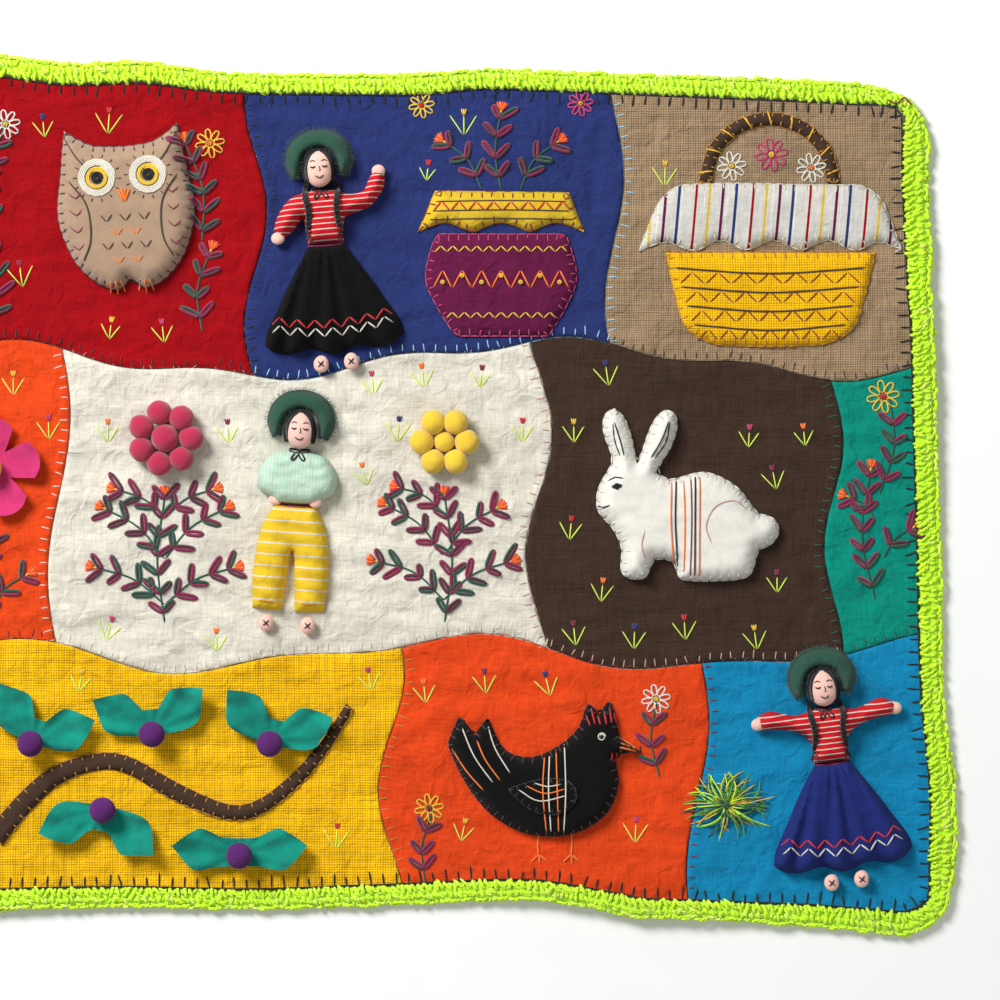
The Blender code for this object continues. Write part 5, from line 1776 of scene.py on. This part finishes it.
def make_doll_details():
    """Face, hair, hands, hems and foot stitches of each doll."""
    rng = np.random.default_rng(SEED + 5)
    skin = felted("Doll knit", "skin", 1500.0, 0.12, 0.06)
    for name, turn, blouse, lower, hands in DOLLS:
        x, y, _ = middle_of(f"{name}_head")
        at = (x, y, turn)
        face = Threads(5)
        stitched(face, FACE_LINES, *at, 1.0)
        face.build(f"{name}_face")

        hair = Threads(5)
        for side in (-1.0, 1.0):
            for k in range(9):
                fall = 0.24 * k
                rows = ((side * 0.3, 9.6 + 0.1 * k), (side * (3.4 + fall), 7.6 + 0.25 * k),
                        (side * (5.7 + fall), 3.6), (side * (6.5 + fall), -1.5), (side * (5.8 + fall), -6.5))
                path = Drape.path(smooth_path(moved(rows, *at), 1.6), 0.35)
                path[:, 2] = np.maximum(path[:, 2], level_at(x, y) + 5.2)
                hair.add(path, 0.42 + 0.05 * rng.normal(), "black")
            if lower != "yellow":
                rows = ((side * 7.2, -6.0), (side * 8.6, -13.0), (side * 7.4, -22.0), (side * 8.4, -33.0))
                plait(hair, moved(rows, *at), 0.95, 0.85, "black", 4.0)
                ends = moved(((side * 8.4 - 1.4, -32.0), (side * 8.4 + 1.4, -32.6)), *at)
                path = Drape.path(np.linspace(ends[0], ends[1], 4), 1.6)
                hair.add(path, 0.6, "red")
                for k in range(5):
                    lean = side * 8.4 + 0.8 * (k - 2)
                    tail = moved(((side * 8.4, -33.0), (lean, -36.0), (lean * 1.04, -38.6)), *at)
                    laid(hair, tail, 0.3, "black", 1.5)
        hair.build(f"{name}_hair")

        trim = Threads(5)
        for turned in (168.0, 12.0, 232.0, 308.0):
            looped_leaf(trim, *spot(0.0, -11.4, *at), turn + turned, 5.6, 1.9, ("black", "black"), 0.5)
        for k in range(3):
            low = -38.2 - 0.9 * k
            waist = moved(((-9.6, low), (0.0, low - 0.6), (9.6, low)), *at)
            laid(trim, waist, 0.5, "pink" if k % 2 else "maroon", 1.5)
        if lower == "yellow":
            for side in (-1.0, 1.0):
                rows = ((side * 4.6, -91.6), (side * 18.0, -90.6))
                laid(trim, moved(rows, *at), 0.35, "ochre")
        else:
            for colour, level, radius in (("red", -82.0, 0.5), ("cream", -86.4, 0.45)):
                zigzag_stitches(trim, -32.0, 32.0, level, 14, 2.4, radius, colour, at, 4.6)
        for side in ("left", "right"):
            fx, fy, _ = middle_of(f"{name}_foot_{side}")
            for rise in (1.8, -1.8):
                laid(trim, moved(((-1.8, rise), (1.8, -rise)), fx, fy, turn), 0.38, "black")
        trim.build(f"{name}_trim")
        for k, (hx, hy) in enumerate(hands):
            hand(f"{name}_hand_{k + 1}", *spot(hx, hy, *at), skin)


def hand(name, x, y, cloth):
    """Small stuffed hand at a sleeve's end."""
    deselect_all()
    bpy.ops.mesh.primitive_uv_sphere_add(segments=20, ring_count=12, radius=0.5)
    size = Vector((7.2, 6.6, 5.2)) * MM
    piece = shaped(name, size, (x * MM, y * MM, (level_at(x, y) + 3.2) * MM))
    dress(piece, cloth)


def make_tuft():
    """Cut threads that spread and curl from their knot."""
    rng = np.random.default_rng(SEED + 6)
    x, y = TUFT_AT
    level = level_at(x, y)
    tuft = Threads(4)
    for k in range(96):
        angle = tau * k / 96 + 0.2 * rng.normal()
        reach = 21.0 + 3.6 * rng.normal()
        curl = 0.5 * rng.normal()
        path = []
        for share in np.linspace(0.0, 1.0, 9):
            heading = angle + curl * share ** 1.5
            out = reach * share
            swell = 5.4 * sin(pi * min(share * 1.25, 1.0)) * (0.55 + 0.45 * rng.random())
            px = x + out * cos(heading)
            py = y + 0.82 * out * sin(heading)
            path.append((px, py, level - 1.2 + 0.8 * (1.0 - share) + swell))
        colour = ("leaf_green", "lime", "dark_green", "yellow", "leaf_green")[k % 5]
        tuft.add(path, 0.34, colour)
    tie = ((x - 2.4, y, level + 2.6), (x, y + 0.6, level + 4.0), (x + 2.4, y, level + 2.6))
    tuft.add(tie, 1.3, "dark_green")
    tuft.build("thread_tuft_strands", ("thread_tuft",))


def make_loose_ends():
    """Thread tail at the corner, frayed hat brims and frayed bits along the coarse cloths."""
    rng = np.random.default_rng(SEED + 7)
    ends = Threads(4)
    tail = ((296.0, 209.0), (301.0, 207.0), (305.0, 210.0), (309.0, 206.0))
    path = smooth_path([(*place, level_at(*place) + 1.4) for place in tail], 1.5)
    ends.add(path, 0.45, "dark_red")
    for name, turn, _, _, _ in DOLLS:
        place, along = even_stations(outline_of(f"{name}_hat"), 0.9)
        for p, a, n in zip(place, along, -left_of(along)):
            reach = 1.2 + 0.5 * rng.random()
            tip = p + n * reach + a * rng.normal() * 0.7
            base = p - n * 1.2
            low = Drape.heights([base])[0]
            path = [(*base, low + 0.1), (*(0.5 * (p + tip)), low + 0.3), (*tip, low - 0.6 - rng.random())]
            ends.add(path, 0.14, "felt_green")
    for number in range(len(ACROSS)):
        for x in np.arange(-320.0, 320.0, 5.3):
            at = np.array((x + rng.normal(), float(seam_y(number, x)) - 1.0))
            tip = at + (1.6 * rng.normal(), 2.4 + rng.random())
            middle = (at + tip) / 2 + (0.8 * rng.normal(), 0.0)
            _, _, owner = seams_near(np.array([at - (0.0, 2.0)]))
            laid(ends, (at, middle, tip), 0.13, FIELDS[int(owner[0])][1], 1.5)
    ends.build("loose_thread_ends")


# Panel, operators and registration

class PictureSizes(bpy.types.PropertyGroup):
    """Sizes that can be changed without changing the solids."""

    hem_rise: FloatProperty(
        name="Hem rise", description="How far the turned-in hems stand up", default=0.45 * MM, unit="LENGTH",
        min=0.0, max=2.0 * MM, precision=5)
    stitch_pitch: FloatProperty(
        name="Stitch pitch", description="Distance between blanket stitches", default=5.8 * MM, unit="LENGTH",
        min=2.0 * MM, max=20.0 * MM, precision=5)
    stitch_leg: FloatProperty(
        name="Stitch leg", description="Length of a blanket stitch into the cloth", default=6.0 * MM,
        unit="LENGTH", min=1.0 * MM, max=20.0 * MM, precision=5)
    crochet_pitch: FloatProperty(
        name="Crochet pitch", description="Distance between crochet stitches", default=3.5 * MM,
        unit="LENGTH", min=2.0 * MM, max=10.0 * MM, precision=5)
    yarn_radius: FloatProperty(
        name="Yarn radius", description="Half the width of the crochet yarn", default=1.02 * MM,
        unit="LENGTH", min=0.2 * MM, max=2.0 * MM, precision=5)
    floor_size: FloatProperty(
        name="Floor size", description="Side of the pale floor", default=8.0, unit="LENGTH", min=2.0)
    camera_height: FloatProperty(
        name="Camera height", description="Height of the camera over the cloth", default=2.4, unit="LENGTH",
        min=0.5)
    air_light: FloatProperty(
        name="Air light", description="Strength of the even light from all sides", default=0.32, min=0.0)
    key_light: FloatProperty(
        name="Key light", description="Power of the lamp at the upper left", default=56.0, unit="POWER",
        min=0.0)
    fill_light: FloatProperty(
        name="Fill light", description="Power of the lamp at the lower right", default=8.0, unit="POWER",
        min=0.0)


class PictureColours(bpy.types.PropertyGroup):
    """Colours of the cloths, felts, yarns and threads."""

    __annotations__ = {
        key: FloatVectorProperty(
            name=key.replace("_", " ").capitalize(),
            description=f"Colour of the {key.replace('_', ' ')} cloth or thread",
            default=value, subtype="COLOR_GAMMA", size=3, min=0.0, max=1.0)
        for key, value in COLOURS.items()
    }


class PICTURE_OT_stage(bpy.types.Operator):
    """Add the pale floor, the lights and the camera"""

    bl_idname = "picture.stage"
    bl_label = "Stage"

    def execute(self, context):
        make_stage()
        return {"FINISHED"}


class PICTURE_OT_ground(bpy.types.Operator):
    """Add the backing cloth"""

    bl_idname = "picture.ground"
    bl_label = "Ground cloth"

    def execute(self, context):
        make_ground()
        return {"FINISHED"}


class PICTURE_OT_fields(bpy.types.Operator):
    """Add the coloured fields"""

    bl_idname = "picture.fields"
    bl_label = "Fields"

    def execute(self, context):
        make_fields()
        return {"FINISHED"}


class PICTURE_OT_edging(bpy.types.Operator):
    """Add the crocheted edging and the stitches of the seams"""

    bl_idname = "picture.edging"
    bl_label = "Crocheted edging"

    def execute(self, context):
        make_edging()
        make_field_stitches()
        make_edge_stitches()
        return {"FINISHED"}


class PICTURE_OT_animals(bpy.types.Operator):
    """Add the stuffed felt animals and the star"""

    bl_idname = "picture.animals"
    bl_label = "Animals and star"

    def execute(self, context):
        make_animals()
        make_star()
        return {"FINISHED"}


class PICTURE_OT_flowers(bpy.types.Operator):
    """Add the felt flowers and the flowers of felt balls"""

    bl_idname = "picture.flowers"
    bl_label = "Flowers"

    def execute(self, context):
        make_big_flowers()
        make_ball_flowers()
        return {"FINISHED"}


class PICTURE_OT_vine(bpy.types.Operator):
    """Add the vine with its leaves and wound balls"""

    bl_idname = "picture.vine"
    bl_label = "Vine"

    def execute(self, context):
        make_vine()
        return {"FINISHED"}


class PICTURE_OT_basket_and_pot(bpy.types.Operator):
    """Add the basket and the pot"""

    bl_idname = "picture.basket_and_pot"
    bl_label = "Basket and pot"

    def execute(self, context):
        make_basket()
        make_pot()
        return {"FINISHED"}


class PICTURE_OT_dolls(bpy.types.Operator):
    """Add the cloth dolls"""

    bl_idname = "picture.dolls"
    bl_label = "Dolls"

    def execute(self, context):
        make_dolls()
        return {"FINISHED"}


class PICTURE_OT_stitches(bpy.types.Operator):
    """Add the blanket stitches of the sewn-on shapes"""

    bl_idname = "picture.stitches"
    bl_label = "Blanket stitches"

    def execute(self, context):
        make_outline_stitches()
        return {"FINISHED"}


class PICTURE_OT_details(bpy.types.Operator):
    """Add the thread work on animals, basket, pot and dolls"""

    bl_idname = "picture.details"
    bl_label = "Thread work on the figures"

    def execute(self, context):
        make_animal_details()
        make_basket_details()
        make_doll_details()
        return {"FINISHED"}


class PICTURE_OT_tuft(bpy.types.Operator):
    """Add the tuft of cut threads and the loose ends"""

    bl_idname = "picture.tuft"
    bl_label = "Tuft and loose ends"

    def execute(self, context):
        make_tuft()
        make_loose_ends()
        return {"FINISHED"}


class PICTURE_OT_embroidery(bpy.types.Operator):
    """Add the embroidered sprigs and flowers on the fields"""

    bl_idname = "picture.embroidery"
    bl_label = "Embroidery"

    def execute(self, context):
        make_embroidery()
        return {"FINISHED"}


OPERATORS = (
    PICTURE_OT_stage, PICTURE_OT_ground, PICTURE_OT_fields, PICTURE_OT_edging, PICTURE_OT_animals,
    PICTURE_OT_flowers, PICTURE_OT_vine, PICTURE_OT_basket_and_pot, PICTURE_OT_dolls, PICTURE_OT_stitches,
    PICTURE_OT_details, PICTURE_OT_tuft, PICTURE_OT_embroidery,
)


class PICTURE_PT_panel(bpy.types.Panel):
    """Lists the sizes, the colours and the steps"""

    bl_label = "Picture cloth"
    bl_space_type = "VIEW_3D"
    bl_region_type = "UI"
    bl_category = "Picture cloth"

    def draw(self, context):
        sizes = context.scene.picture_sizes
        colours = context.scene.picture_colours
        for key in PictureSizes.__annotations__:
            self.layout.prop(sizes, key)
        for key in COLOURS:
            self.layout.prop(colours, key)
        for step in OPERATORS:
            self.layout.operator(step.bl_idname)


CLASSES = (PictureSizes, PictureColours, *OPERATORS, PICTURE_PT_panel)


def register():
    for item in CLASSES:
        bpy.utils.register_class(item)
    bpy.types.Scene.picture_sizes = PointerProperty(type=PictureSizes)
    bpy.types.Scene.picture_colours = PointerProperty(type=PictureColours)


def unregister():
    del bpy.types.Scene.picture_colours
    del bpy.types.Scene.picture_sizes
    for item in reversed(CLASSES):
        bpy.utils.unregister_class(item)


def main():
    register()
    bpy.ops.picture.stage()
    bpy.ops.picture.ground()
    bpy.ops.picture.fields()
    bpy.ops.picture.edging()
    bpy.ops.picture.animals()
    bpy.ops.picture.flowers()
    bpy.ops.picture.vine()
    bpy.ops.picture.basket_and_pot()
    bpy.ops.picture.dolls()
    bpy.ops.picture.stitches()
    bpy.ops.picture.details()
    bpy.ops.picture.tuft()
    bpy.ops.picture.embroidery()


if __name__ == "__main__":
    main()
